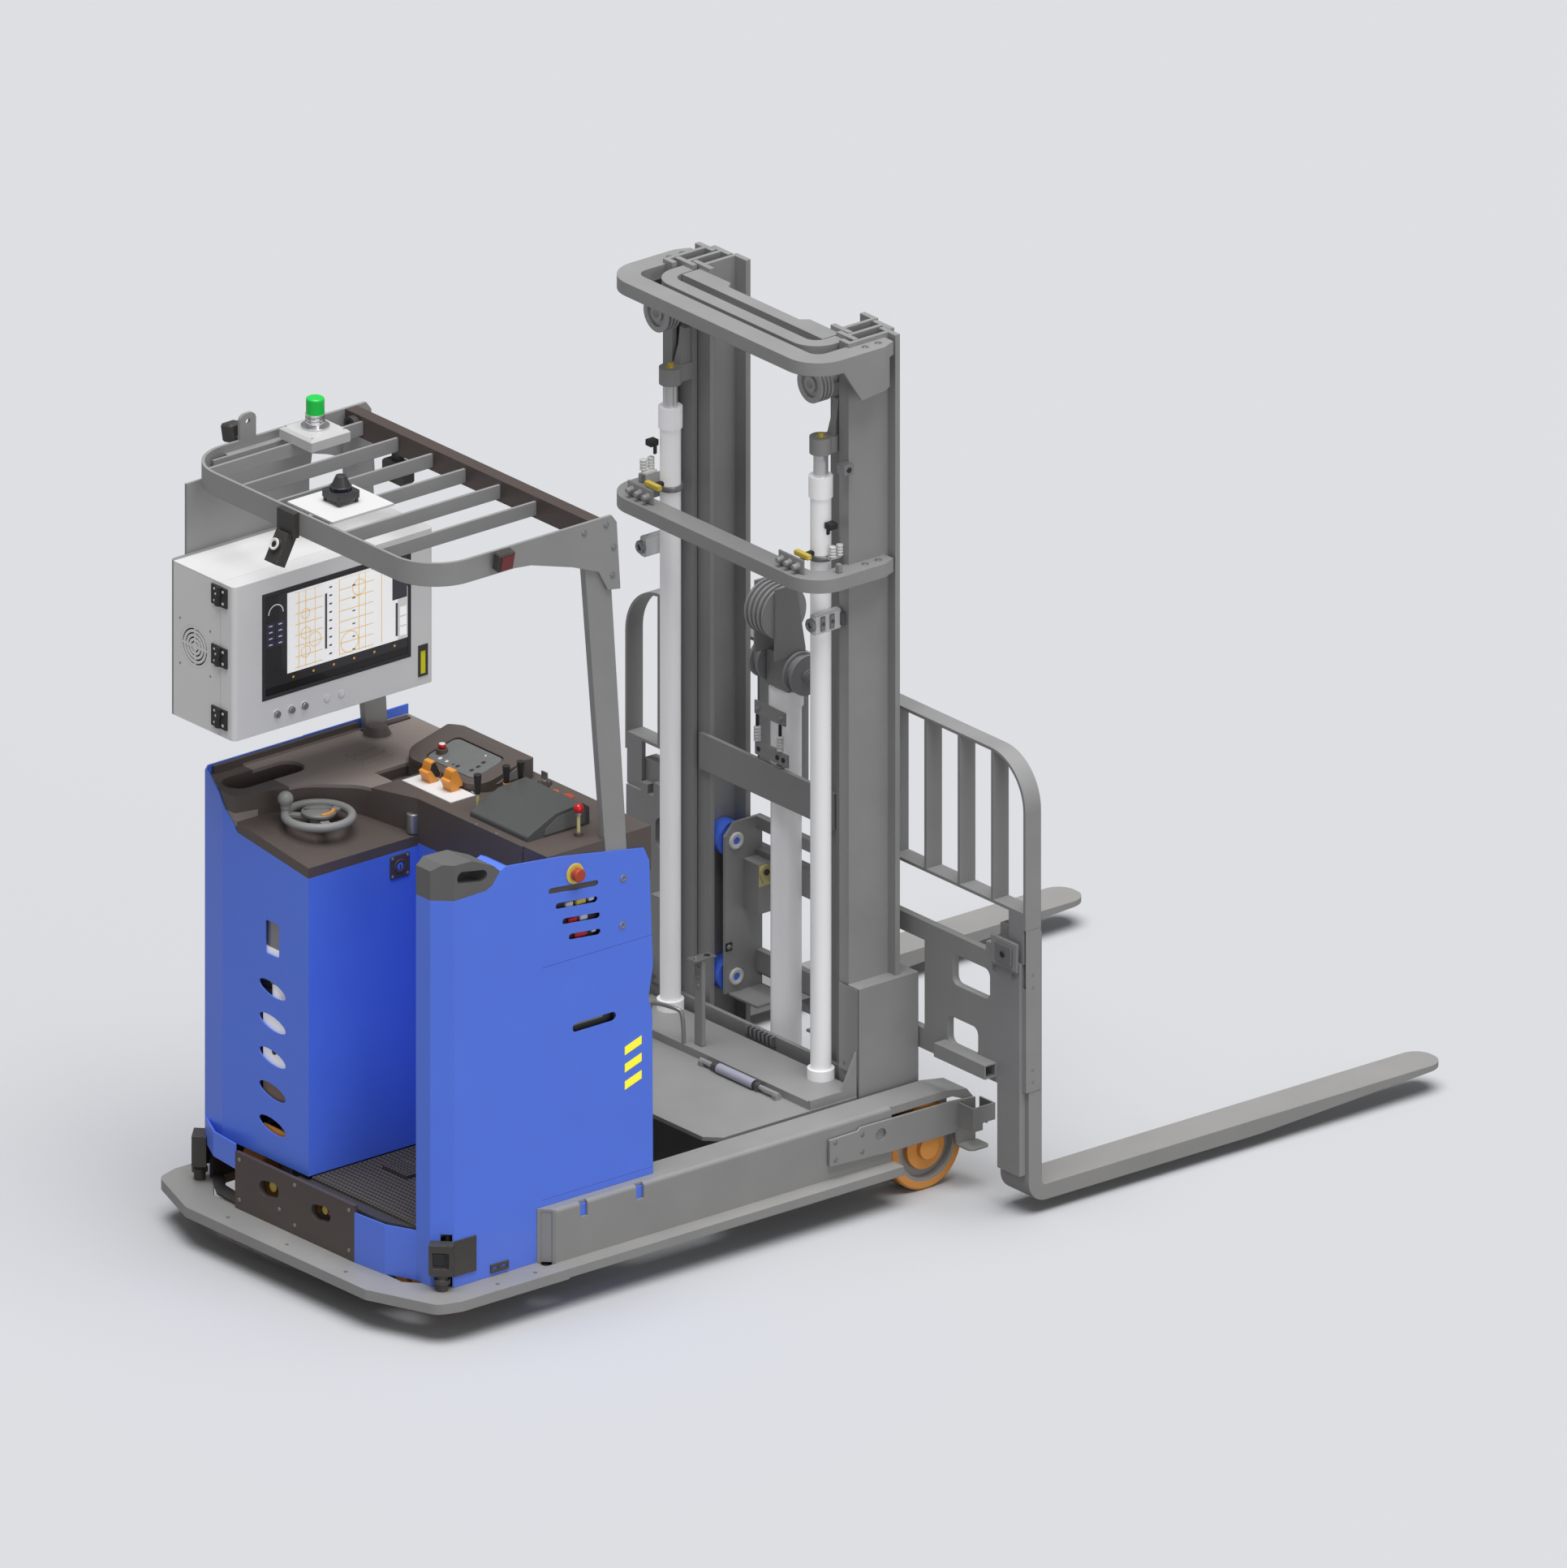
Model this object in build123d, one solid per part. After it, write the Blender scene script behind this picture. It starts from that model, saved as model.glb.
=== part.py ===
from build123d import *
import os

# Autonomous reach truck with a three stage moving mast, straddle legs and a stand-in operator place.
# Millimetres. +X points to the fork tips, +Y to the truck's left, +Z up, and the floor is Z = 0.
# Distances along X are written from the bumper's rear edge, and every piece is shifted back by half
# of the truck's length when it is kept, so the origin lies on the floor at mid length and mid width.

# Driving sizes: clearances
GAP = 0.3              # between pieces that move past each other or stand side by side
RUN = 0.05             # radial play of a running fit

# Driving sizes: forks and the frame that carries them
FORK_LENGTH = 1399
FORK_WIDTH = 120
FORK_THICK = 45
FORK_FACE_X = 1933     # front face of the fork shanks
FORK_BOTTOM_Z = 37
FORK_TOP_Z = 816
FORK_HEEL_R = 60
FORK_TAPER_X = 2688    # where the blade starts to thin
FORK_TIP_THICK = 14
FORK_RIGHT_Y = -818
FORK_LEFT_Y = 697
SHIFT_Y = -31          # the side shift stands this far to the right
FRAME_X = (1866.3, 1888)
FRAME_BAR_Z = (677, 731)
FRAME_LOW_Z = 361
FRAME_INNER = 432
BACKREST_HALF = 849
FRAME_HALF = BACKREST_HALF - 15
BACKREST_TOP_Z = 1317
BACKREST_LOW_Z = 879
BACKREST_FOOT_Z = 829
BACKREST_DEEP = 54
BACKREST_BAR = 9
BACKREST_R = 148
BACKREST_PITCH = 141.5
CARRIAGE_Z = (336, 825)
CARRIAGE_ROLLERS_Z = (380, 772)
LATCHES_Y = (-722, 742)

# Driving sizes: legs and wheels
BODY_HALF = 521        # the legs, the mast and the guard keep their distance to the body's side
LEG_INNER = BODY_HALF - 63
LEG_OUTER = LEG_INNER + 100
LEG_TOP_Z = 273
LEG_LOW_Z = 100
LEG_WALL = 8
LEG_REAR_X = 479
LEG_NOSE_X = 1955
LEG_POCKET_X = 1675
FLANGE_OUTER = LEG_OUTER + 53
FLANGE_Z = (92, 118)
LEDGE_Z = (188, 200)
LEDGE_DEEP = 13
LOAD_WHEEL_X = LEG_POCKET_X + 129
LOAD_WHEEL_R = 122
LOAD_WHEEL_WIDE = 80
LOAD_AXLE_R = 20
SIDE_PLATE_Y = LEG_OUTER + 12
SIDE_PLATE_X = (LEG_POCKET_X - 223, LEG_NOSE_X)
BRACKET_OUTER = LEG_OUTER + 74

# Driving sizes: bumper, body and platform
BUMPER_Z = (88, 118)
BUMPER_STRAIGHT = BODY_HALF - 141
BUMPER_INNER = BODY_HALF - 17.7
BODY_FRONT_X = 881
SKIN = 4
POD_REAR_X = 137
POD_RIGHT_Y = 27
POST_INNER = BODY_HALF - 106
POST_REAR_X = 148
POST_CHAMFER = 46
PLATFORM_X = 514
PEDAL_X = (330, 408)
PEDAL_Y = (-152, -46)
PEDAL_STEM = (369, -99)
REAR_SLOTS_Y = (150, -70)
POD_CORNER = [(100, BODY_HALF - 227.7), (112, BODY_HALF - 121), (164, BODY_HALF - 21), (198, BODY_HALF)]
APRON_POINTS = [(100, POST_INNER - 202.7), (110, POST_INNER - 85), (148, POST_INNER)]
SIDE_STOP = (610, 1209)
STOP_STEM_R = 8
PLATFORM_TOP_Z = 270
MAT_THICK = 11
APRON_X = 100
SIDE_TOP_Z = 1290
POD_TOP_Z = 1304
DECK_Z = 1278
STEER_DECK_Z = 1172
TRAY_Z = (292, 300)
BATTERY_TOP_Z = 1135
DECK_WALL = 6
LEVERS_AT = ((684, -140), (734, -140), (585, -140))
ROCKERS_AT = ((615, 100), (620, 15))
ROCKER_R = 14
CONSOLE_STOP = (790, -267)
HANDLE_AT = (682, -449)
KEY_AT = (845, -105)
RED_BUTTON_AT = (719, 175)

# Driving sizes: overhead guard
GUARD_TOP_Z = 2213
GUARD_DEEP = 67
GUARD_BAR = 9
GUARD_HALF = BODY_HALF + 4
GUARD_REAR_X = 99
GUARD_CORNER_R = 140
BEAM_X = (661, 701)
BEAM_DEEP = 63
ROOF_BAR_Z = (2161, 2200)
ROOF_BARS_Y = (443, 294, 147, 8, -139, -292)
LIGHT_AT = (485, 426)
LIDAR_AT = (247, 25)
POST_Y = (BODY_HALF - 26, BODY_HALF - 5)
POST_FOOT_X = (800, 859)
POST_HEAD_X = (644, 731)
POST_HEAD_Z = 2140

# Driving sizes: cabinet with the screen
CABINET_X = (38, 728)
CABINET_Y = (BODY_HALF - 299, BODY_HALF - 27)
CABINET_Z = (1501, 1945)
CABINET_WALL = 3
DOOR_DEEP = 58
SCREEN_X = (136, 649)
SCREEN_Z = (1593, 1900)
DOOR_BUTTONS_X = (186, 236, 281)
DOOR_BUTTONS_Z = 1545
HINGE_AT = (32, CABINET_Y[0] + DOOR_DEEP)
HINGE_HALF = 28
FAN_AT = (CABINET_Y[1] - 106, 1725)
FAN_R = 60
HINGES_Z = (1554, 1732, 1906)

# Driving sizes: steering and rolling gear under the body
DRIVE_AT = (310, 335)
DRIVE_WHEEL_R = 145
DRIVE_WHEEL_WIDE = 90
TURNTABLE_Z = 430
DRIVE_NECK_R = 92
CASTER_AT = (325, -310)
CASTER_WHEEL_R = 80
CASTER_TRAIL = 40
STEERING_AT = (303, 188)
STEERING_Z = 1232
STEERING_R = 102
KNOB_AT = (STEERING_AT[0] - 58, STEERING_AT[1] + 69)

# Driving sizes: mast
BASE_HALF = LEG_INNER - 16
OUTER_WEB = BASE_HALF - 60       # inner face of the outer rail's web
MAST_FOOT_Z = 140
MAST_TOP_Z = 2430
RAIL_WALL = 12
RAIL_FLANGE = 16
OUTER_X = (1660, 1812)
MIDDLE_WEB = OUTER_WEB - 47
MIDDLE_X = (1690, 1829)
INNER_WEB = MIDDLE_WEB - 47
INNER_X = (1710, 1839)
LOOP_TOP_Z = 2418
LOOP_THICK = 39
LOOP_REAR_X = 1492
LOOP_FRONT_X = 1785
LOOP_R = 100
LOOP_HALF = OUTER_WEB + 66
LOOP_BAR = 65
LOOP_LOW_Z = 1791
INNER_LOOP_REAR_X = 1573
INNER_LOOP_BAR = 43
INNER_LOOP_R = 80
TIE_X = (1648, 1688)
CROSSBEAM_Z = (981, 1085)
LIFT_AT = (1625, OUTER_WEB - 63)
LIFT_TUBE_R = 28.5
LIFT_COLLAR_R = 33
LIFT_ROD_R = 20
LIFT_TUBE_TOP_Z = 2037
FREE_X = 1765
FREE_TUBE_R = 42
FREE_ROD_R = 30
FREE_TUBE_TOP_Z = 1290
PULLEY_R = 57
PULLEY_Z = 1350
PULLEY_Y = 72
PULLEY_PIN_R = 12
SHEAVE_R = 76
SHEAVE_Z = 1525
SHEAVE_X = 1727
SHEAVE_PIN_R = 14
HOSE_SHEAVE_R = 52
HOSE_SHEAVE_Z = 2312
HOSE_SHEAVE_X = (1580, 1622)
HOSE_SHEAVE_Y = MIDDLE_WEB - 9
BASE_Z = (112, 140)
DECK_REAR_X = 1148
DECK_EDGE_X = 1490
FOOT_BOX_TOP_Z = 580

LENGTH = FORK_FACE_X + FORK_LENGTH


def block(x, y, z):
    """A box between pairs of low and high values."""
    size = [high - low for low, high in (x, y, z)]
    middle = [(high + low) / 2 for low, high in (x, y, z)]
    return Pos(*middle) * Box(*size)


def mirrored(x, y, z):
    """The same box on the truck's left and on its right, from values of |Y|."""
    left = block(x, y, z)
    return [left, mirror(left, Plane.XZ)]


def along_x(radius, x, y, z):
    return Pos((x[0] + x[1]) / 2, y, z) * Rot(0, 90, 0) * Cylinder(radius, x[1] - x[0])


def along_y(radius, x, y, z):
    return Pos(x, (y[0] + y[1]) / 2, z) * Rot(90, 0, 0) * Cylinder(radius, y[1] - y[0])


def along_z(radius, x, y, z):
    return Pos(x, y, (z[0] + z[1]) / 2) * Cylinder(radius, z[1] - z[0])


def side_view(points, y, corner=0):
    """Extrude an outline of X and Z points across the truck."""
    face = make_face(Polyline(*points, close=True))
    if corner:
        face = fillet(face.vertices(), corner)
    return extrude(Plane((0, y[1], 0), x_dir=(1, 0, 0), z_dir=(0, -1, 0)) * face, y[1] - y[0])


def rear_view(points, x):
    """Extrude an outline of Y and Z points along the truck."""
    face = make_face(Polyline(*points, close=True))
    return extrude(Plane((x[0], 0, 0), x_dir=(0, 1, 0), z_dir=(1, 0, 0)) * face, x[1] - x[0])


def plan_view(points, z):
    """Extrude an outline of X and Y points upwards."""
    return extrude(Pos(0, 0, z[0]) * make_face(Polyline(*points, close=True)), z[1] - z[0])


def slot_hole(length, width, depth, where):
    return where * extrude(SlotOverall(length, width), depth / 2, both=True)


def flat(pieces):
    """All the shapes in a nest of lists."""
    if not isinstance(pieces, (list, tuple)):
        return [pieces]
    return [one for piece in pieces for one in flat(piece)]


def welded(*pieces):
    """Join pieces of one weldment."""
    shapes = flat(pieces)
    return shapes[0].fuse(*shapes[1:]) if len(shapes) > 1 else shapes[0]


def both(piece):
    return [piece, mirror(piece, Plane.XZ)]


kept = {}


def keep(name, *pieces):
    """Store a node as separate solids, shifted so that the origin is at mid length."""
    solids = [solid for shape in flat(pieces) for solid in shape.solids()]
    kept[name] = Pos(-LENGTH / 2, 0, 0) * Compound(solids)


# Rear bumper: a flat plate round the body, chamfered and rounded at its rear corners
def rear_bumper():
    side, joint_x, leg_x, leg_y = FLANGE_OUTER, LEG_REAR_X + 41, LEG_REAR_X - GAP, LEG_OUTER + GAP
    half = [(0, BUMPER_STRAIGHT), (80, side - 21), (150, side), (joint_x, side), (joint_x, leg_y),
            (leg_x, leg_y), (leg_x, BUMPER_INNER), (200, BUMPER_INNER), (APRON_X + 12, 400)]
    plate = plan_view(half + [(x, -y) for x, y in reversed(half)], BUMPER_Z)
    corners = [edge for edge in plate.edges().filter_by(Axis.Z)
               if 10 < edge.center().X < 160 and abs(edge.center().Y) > BUMPER_STRAIGHT + 50]
    return fillet(corners, 45)


keep("rear_bumper", rear_bumper())


# Straddle legs: closed box section with a bottom flange, an open wheel pocket and a sloping nose
def straddle_leg():
    outer = (LEG_INNER, LEG_OUTER)
    tube = block((LEG_REAR_X, LEG_POCKET_X), outer, (LEG_LOW_Z, LEG_TOP_Z))
    tube = fillet(tube.edges().filter_by(Axis.X).group_by(Axis.Z)[-1].sort_by(Axis.Y)[-1], 11)
    inside = block((LEG_REAR_X + LEG_WALL, LEG_POCKET_X - LEG_WALL),
                   (LEG_INNER + LEG_WALL, LEG_OUTER - LEG_WALL), (LEG_LOW_Z + LEG_WALL, LEG_TOP_Z - LEG_WALL))
    cut_corner = plan_view([(LEG_REAR_X - 1, LEG_OUTER - 37), (LEG_REAR_X - 1, LEG_OUTER + 1),
                            (LEG_REAR_X + 38, LEG_OUTER + 1)], (LEG_LOW_Z - 1, LEG_TOP_Z + 1))
    notches = [Pos(x, LEG_OUTER, LEG_TOP_Z - 22) * Box(26, 3 * LEG_WALL, 44) for x in (612, 806)]
    flange = block((LEG_REAR_X + 41, LEG_POCKET_X), (LEG_OUTER, FLANGE_OUTER), FLANGE_Z)
    lap = block((LEG_REAR_X + 41, LEG_POCKET_X), (LEG_OUTER - LEG_WALL, LEG_OUTER), FLANGE_Z)
    ledge = block((LEG_REAR_X + 120, LEG_POCKET_X), (LEG_INNER - LEDGE_DEEP, LEG_INNER), LEDGE_Z)
    inner_web = block((LEG_POCKET_X, LEG_NOSE_X - 15), (LEG_INNER, LEG_INNER + LEG_WALL),
                      (LEG_LOW_Z, LEG_TOP_Z - 20))
    nose_top = [(LEG_POCKET_X - 1, LEG_TOP_Z), (LEG_NOSE_X - 100, LEG_TOP_Z), (LEG_NOSE_X - 20, LEG_TOP_Z - 13),
                (LEG_NOSE_X, LEG_TOP_Z - 38)]
    nose_low = [(x, z - LEG_WALL) for x, z in reversed(nose_top)]
    roof = side_view(nose_top + nose_low, outer)
    lip = side_view(nose_top + [(LEG_NOSE_X, LEG_TOP_Z - 60), (LEG_NOSE_X - 30, LEG_TOP_Z - 40),
                                (LEG_NOSE_X - 70, LEG_TOP_Z - 23), (LEG_POCKET_X - 1, LEG_TOP_Z - 23)],
                    (LEG_OUTER - LEG_WALL, LEG_OUTER))
    web_top = side_view(nose_top + [(LEG_NOSE_X, LEG_TOP_Z - 50), (LEG_NOSE_X - 15, LEG_TOP_Z - 60),
                                    (LEG_POCKET_X - 1, LEG_TOP_Z - 60)], (LEG_INNER, LEG_INNER + LEG_WALL))
    leg = welded(tube - inside - cut_corner - notches, flange, lap, ledge, inner_web, roof, lip, web_top)
    axle = along_y(LOAD_AXLE_R, LOAD_WHEEL_X, (LEG_INNER + LEG_WALL, LEG_OUTER - 20), LOAD_WHEEL_R)
    washer = along_y(LOAD_AXLE_R + 8, LOAD_WHEEL_X, (LEG_INNER + LEG_WALL, LEG_INNER + LEG_WALL + 2), LOAD_WHEEL_R)
    return welded(leg, axle, washer)


keep("straddle_legs", both(straddle_leg()))


# Leg tip fittings: the outer plate past the wheel, the open sensor bracket and the toe plate
def leg_fitting():
    face = (SIDE_PLATE_Y - LEG_WALL, SIDE_PLATE_Y)
    (rear_x, front_x), top_z = SIDE_PLATE_X, LEG_TOP_Z - 27
    hook_x, notch_x = front_x - 65, LEG_POCKET_X - 46
    plate = side_view([(rear_x, 160), (LEG_POCKET_X - 2, 150), (hook_x - 3, 150), (hook_x, 113), (front_x, 113),
                       (front_x, 235), (hook_x - 20, top_z - 4), (rear_x + 108, top_z), (rear_x + 98, top_z - 8),
                       (rear_x, top_z - 10)], face)
    port = along_y(17.5, notch_x, (face[0] - 1, face[1] + 1), 209)
    spacer = block((rear_x + 10, LEG_POCKET_X - 20), (LEG_OUTER, face[0]), (165, top_z - 20))
    bracket_x, bracket_y, bracket_z = (hook_x + 6, front_x + 18), (face[1], BRACKET_OUTER), (165, 233)
    bracket = block(bracket_x, bracket_y, bracket_z)
    bracket -= block((bracket_x[0] + 5, bracket_x[1] - 5), (face[0], bracket_y[1] - 5), (160, 240))
    bracket -= block((hook_x + 40, front_x + 25), (BRACKET_OUTER - 32, BRACKET_OUTER + 13), (160, 185))
    toe = block((hook_x, front_x + 5), (face[1], BRACKET_OUTER - 2), (110, 114))
    toe = fillet(toe.edges().filter_by(Axis.Z).group_by(Axis.Y)[-1], 18)
    return welded(plate, spacer, bracket, toe) - port


keep("leg_fittings", both(leg_fitting()))


# Load wheels: tyre on a hub with a recessed rim and a raised cap
def load_wheel(side):
    middle = side * (LEG_INNER + LEG_WALL + 2 + GAP + LOAD_WHEEL_WIDE / 2)
    half = LOAD_WHEEL_WIDE / 2

    def ring(radius, low, high):
        span = sorted((middle + side * low, middle + side * high))
        return along_y(radius, LOAD_WHEEL_X, span, LOAD_WHEEL_R)
    tyre = chamfer(ring(LOAD_WHEEL_R, -half, half).edges().filter_by(GeomType.CIRCLE), 5)
    tyre -= ring(98, -half, half)
    rim = ring(98, -half, half) - ring(88, half - 22, half) - ring(LOAD_AXLE_R + RUN, -half, half - 9)
    cap = ring(64, half - 22, half - 4) + ring(32, half - 4, half + 12)
    return [tyre, welded(rim, cap) - ring(LOAD_AXLE_R + RUN, -half, half - 9)]


keep("load_wheel_right", load_wheel(-1))
keep("load_wheel_left", load_wheel(1))


# Chassis: side plates, rear plate, drive turntable plate, platform, bulkhead and battery tray
def chassis_frame():
    side_y = (BUMPER_INNER - 9.3, BUMPER_INNER - GAP)
    rear, side_rear, bulkhead = APRON_X + 12 + GAP, 184, (LEG_REAR_X + 63, LEG_REAR_X + 75)
    base_z, post_x = BUMPER_Z[1], POST_REAR_X + 20 + GAP
    right, left = POST_INNER - 119, BODY_HALF - 241
    right_corner = [(side_rear, -side_y[0]), (post_x, -side_y[0]), (post_x, -POST_INNER), (152.5, 5 - POST_INNER),
                    (118, 83 - POST_INNER), (rear, -right)]
    left_corner = [(rear, left), (121, BODY_HALF - 125), (160, BODY_HALF - 61), (side_rear, side_y[0])]
    sides = mirrored((side_rear, LEG_REAR_X - GAP), side_y, (base_z + GAP, PLATFORM_TOP_Z))
    rear_plate = block((rear, rear + 8), (-right, left), (base_z, PLATFORM_TOP_Z - 8))
    ears = [plan_view(right_corner + [(rear, 16 - right), (150, 16 - right), (174, 15 - POST_INNER),
                                      (192, -15 - POST_INNER), (220, -side_y[0])], (base_z, base_z + 8)),
            plan_view(left_corner + [(220, side_y[0]), (200, BODY_HALF - 66), (170, BODY_HALF - 101), (150, left)],
                      (base_z, base_z + 8))]
    cross = block((LEG_REAR_X + 15, bulkhead[1]), (GAP - LEG_INNER, LEG_INNER - GAP), (base_z, 250))
    knee = block((LEG_REAR_X - 12, LEG_REAR_X + 15), (-side_y[0], side_y[0]), (base_z, 200))
    plate_y = POD_RIGHT_Y + 40
    platform = plan_view(right_corner + [(rear, plate_y), (bulkhead[1], plate_y), (bulkhead[1], -side_y[0])],
                         (PLATFORM_TOP_Z - 8, PLATFORM_TOP_Z))
    seat_x, seat_y = [(middle - 75, middle + 75) for middle in CASTER_AT]
    caster_seat = block(seat_x, seat_y, (225, PLATFORM_TOP_Z - 8))
    caster_stem = along_z(18 + RUN, *CASTER_AT, (220, PLATFORM_TOP_Z - 14))
    riser_foot = block(bulkhead, (GAP - LEG_INNER, LEG_INNER - GAP), (240, LEG_TOP_Z - GAP))
    frame = welded(sides, rear_plate, ears, cross, knee, platform, caster_seat, riser_foot)
    pedal_hole = along_z(10 + RUN, *PEDAL_STEM, (PLATFORM_TOP_Z - 9, PLATFORM_TOP_Z + 1))
    return frame - caster_stem - rear_slots(rear) - pedal_hole - both(leg_room())


def bulkhead_and_tray():
    """The upright plate in front of the driver with the battery tray, bolted to the frame."""
    plate_x, half = (LEG_REAR_X + 63, LEG_REAR_X + 75), BUMPER_INNER - GAP
    riser = block(plate_x, (-half, half), (LEG_TOP_Z, BATTERY_TOP_Z))
    tray = block((plate_x[1] - 2, BODY_FRONT_X - 3), (-half, half), TRAY_Z)
    pads = mirrored((plate_x[0], BODY_FRONT_X - 3), (LEG_INNER + 4, half), (LEG_TOP_Z, TRAY_Z[0]))
    return welded(riser, tray, pads)


def drive_deck():
    """The raised plate with the drive unit's turntable and the webs under it."""
    half, low, front, plate_y = BUMPER_INNER - GAP, PLATFORM_TOP_Z + GAP, LEG_REAR_X + 63 - GAP, POD_RIGHT_Y + 40
    plate = plan_view([(160, plate_y), (160, BODY_HALF - 61), (184, half - 9), (184, half), (front, half),
                       (front, plate_y)], (TURNTABLE_Z, TURNTABLE_Z + 14))
    webs = [block((160, front), (plate_y - 6, plate_y + 2), (low, TURNTABLE_Z + 1)),
            block((184, front), (half - 9, half), (low, TURNTABLE_Z + 1))]
    spindle = along_z(DRIVE_NECK_R, *DRIVE_AT, (TURNTABLE_Z - 1, TURNTABLE_Z + 15))
    return welded(plate, webs) - spindle - leg_room()


def rear_slots(x):
    """The two slanting slots through the rear panel and the frame behind it."""
    return [slot_hole(82, 44, 60, Plane((x, y, 215), x_dir=(0, 1, 0), z_dir=(1, 0, 0)) * Rot(0, 0, -8))
            for y in REAR_SLOTS_Y]


def leg_room():
    """The space the left leg takes under the body."""
    return block((LEG_REAR_X - GAP, LEG_REAR_X + 500), (LEG_INNER - GAP, FLANGE_OUTER), (LEG_LOW_Z - 20, LEG_TOP_Z))


keep("chassis_frame", chassis_frame(), bulkhead_and_tray(), drive_deck())


# Rear panel: the brown plate over the bumper with two slots
def rear_panel():
    panel = block((APRON_X, APRON_X + 12), (203 - POST_INNER, BODY_HALF - 228),
                  (BUMPER_Z[1] + GAP, PLATFORM_TOP_Z + MAT_THICK))
    return panel - rear_slots(APRON_X)


keep("rear_panel", rear_panel())


# Platform mat: rubber with ribs across the step
def platform_mat():
    low, high = PLATFORM_TOP_Z, PLATFORM_TOP_Z + MAT_THICK
    mat_y = (-POST_INNER + GAP, POD_RIGHT_Y - GAP)
    mat = block((POST_REAR_X, PLATFORM_X - GAP), mat_y, (low, high - 3))
    ribs = [block((x, x + 8), (mat_y[0] + 6, mat_y[1] - 6), (high - 3, high))
            for x in range(int(POST_REAR_X) + 6, int(PLATFORM_X) - 12, 16)]
    pedal_room = block(PEDAL_X, PEDAL_Y, (low - 1, high + 1))
    return welded(mat, ribs) - pedal_room


keep("platform_mat", platform_mat())


# Foot pedal: a ribbed pad on a stem
def pedal():
    pad_x, pad_y = [(low + 2, high - 2) for low, high in (PEDAL_X, PEDAL_Y)]
    stem = along_z(10, *PEDAL_STEM, (PLATFORM_TOP_Z - 8, PLATFORM_TOP_Z + 8))
    pad = block(pad_x, pad_y, (PLATFORM_TOP_Z + 7, PLATFORM_TOP_Z + 20))
    ribs = [block((x, x + 5), (pad_y[0] + 6, pad_y[1] - 6), (PLATFORM_TOP_Z + 20, PLATFORM_TOP_Z + 23))
            for x in range(PEDAL_X[0] + 8, PEDAL_X[1] - 10, 12)]
    return welded(stem, pad, ribs)


keep("pedal", pedal())


def post_corner():
    """The wedge that chamfers the right rear post and the handle on it."""
    return plan_view([(POST_REAR_X - 1, -BODY_HALF - 1), (POST_REAR_X + POST_CHAMFER + 1, -BODY_HALF - 1),
                      (POST_REAR_X - 1, -BODY_HALF + POST_CHAMFER + 1)], (100, 1400))


# Right side panel: outer skin, thick rear post, rear apron and the skirt below the leg
def side_panel():
    top = [(BODY_FRONT_X - 13, 1181), (BODY_FRONT_X - 32, 1222), (BODY_FRONT_X - 69, 1228), (567, 1269),
           (372, SIDE_TOP_Z), (352, 1282), (325, 1247), (303, 1237), (POST_REAR_X, 1234)]
    front = [(BODY_FRONT_X, LEG_TOP_Z + GAP), (BODY_FRONT_X - 3, 740), (BODY_FRONT_X - 16, 784),
             (BODY_FRONT_X, 872)]
    low = [(POST_REAR_X, BUMPER_Z[1] + GAP), (LEG_REAR_X - GAP, BUMPER_Z[1] + GAP),
           (LEG_REAR_X - GAP, LEG_TOP_Z + GAP)]
    skin = side_view(low + front + top, (-BODY_HALF, -BODY_HALF + SKIN))
    post_front = PLATFORM_X + SKIN
    post = side_view([(POST_REAR_X, PLATFORM_TOP_Z + GAP), (post_front, PLATFORM_TOP_Z + GAP),
                      (post_front, 1150), (390, 1282), (372, SIDE_TOP_Z)] + top[5:],
                     (-BODY_HALF + SKIN, -POST_INNER))
    lower_post = side_view([(POST_REAR_X, BUMPER_Z[1] + GAP), (POST_REAR_X + 20, BUMPER_Z[1] + GAP),
                            (POST_REAR_X + 20, PLATFORM_TOP_Z + 1), (POST_REAR_X, PLATFORM_TOP_Z + 1)],
                           (-BODY_HALF + SKIN, -POST_INNER))
    vents = [slot_hole(length, 17, 40, Plane((x, -BODY_HALF, z), x_dir=(1, 0, 0), z_dir=(0, -1, 0)) * Rot(0, 0, -6))
             for x, z, length in ((606, 1170, 172), (617, 1122, 145), (633, 1073, 130), (645, 1024, 110))]
    grip = slot_hole(150, 26, 40, Plane((678, -BODY_HALF, 762), x_dir=(1, 0, 0), z_dir=(0, -1, 0)))
    stop_hole = along_y(STOP_STEM_R + RUN, SIDE_STOP[0], (-BODY_HALF - 1, -BODY_HALF + SKIN + 1), SIDE_STOP[1])
    return welded(skin, post, lower_post) - post_corner() - vents - grip - stop_hole - mirror(leg_room(), Plane.XZ)


def apron(points, sign, top_z, skin=SKIN):
    """A thin curved wall low at the rear, between the brown panel and a corner."""
    outside = [(x, sign * y) for x, y in points]
    inside = [(x + skin, sign * y) for x, y in reversed(points)]
    return plan_view(outside + inside, (BUMPER_Z[1] + GAP, top_z))


def skirt():
    """The low skirt that hangs inside the right leg, on the chassis side plate."""
    outline = [(377, 41), (839, 41), (839, FLANGE_Z[0] - GAP), (LEG_REAR_X - GAP, FLANGE_Z[0] - GAP),
               (460, BUMPER_Z[1]), (460, 240), (377, 240)]
    return side_view(outline, (BUMPER_INNER - 9.6 - SKIN, BUMPER_INNER - 9.6))


keep("side_panel", welded(side_panel(), apron(APRON_POINTS, -1, PLATFORM_TOP_Z - 8 - GAP)),
     mirror(skirt(), Plane.XZ))


def steer_deck_under(y):
    """Height of the sloping steering deck's underside."""
    return STEER_DECK_Z - 30 + 0.13 * (y - POD_RIGHT_Y)


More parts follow.
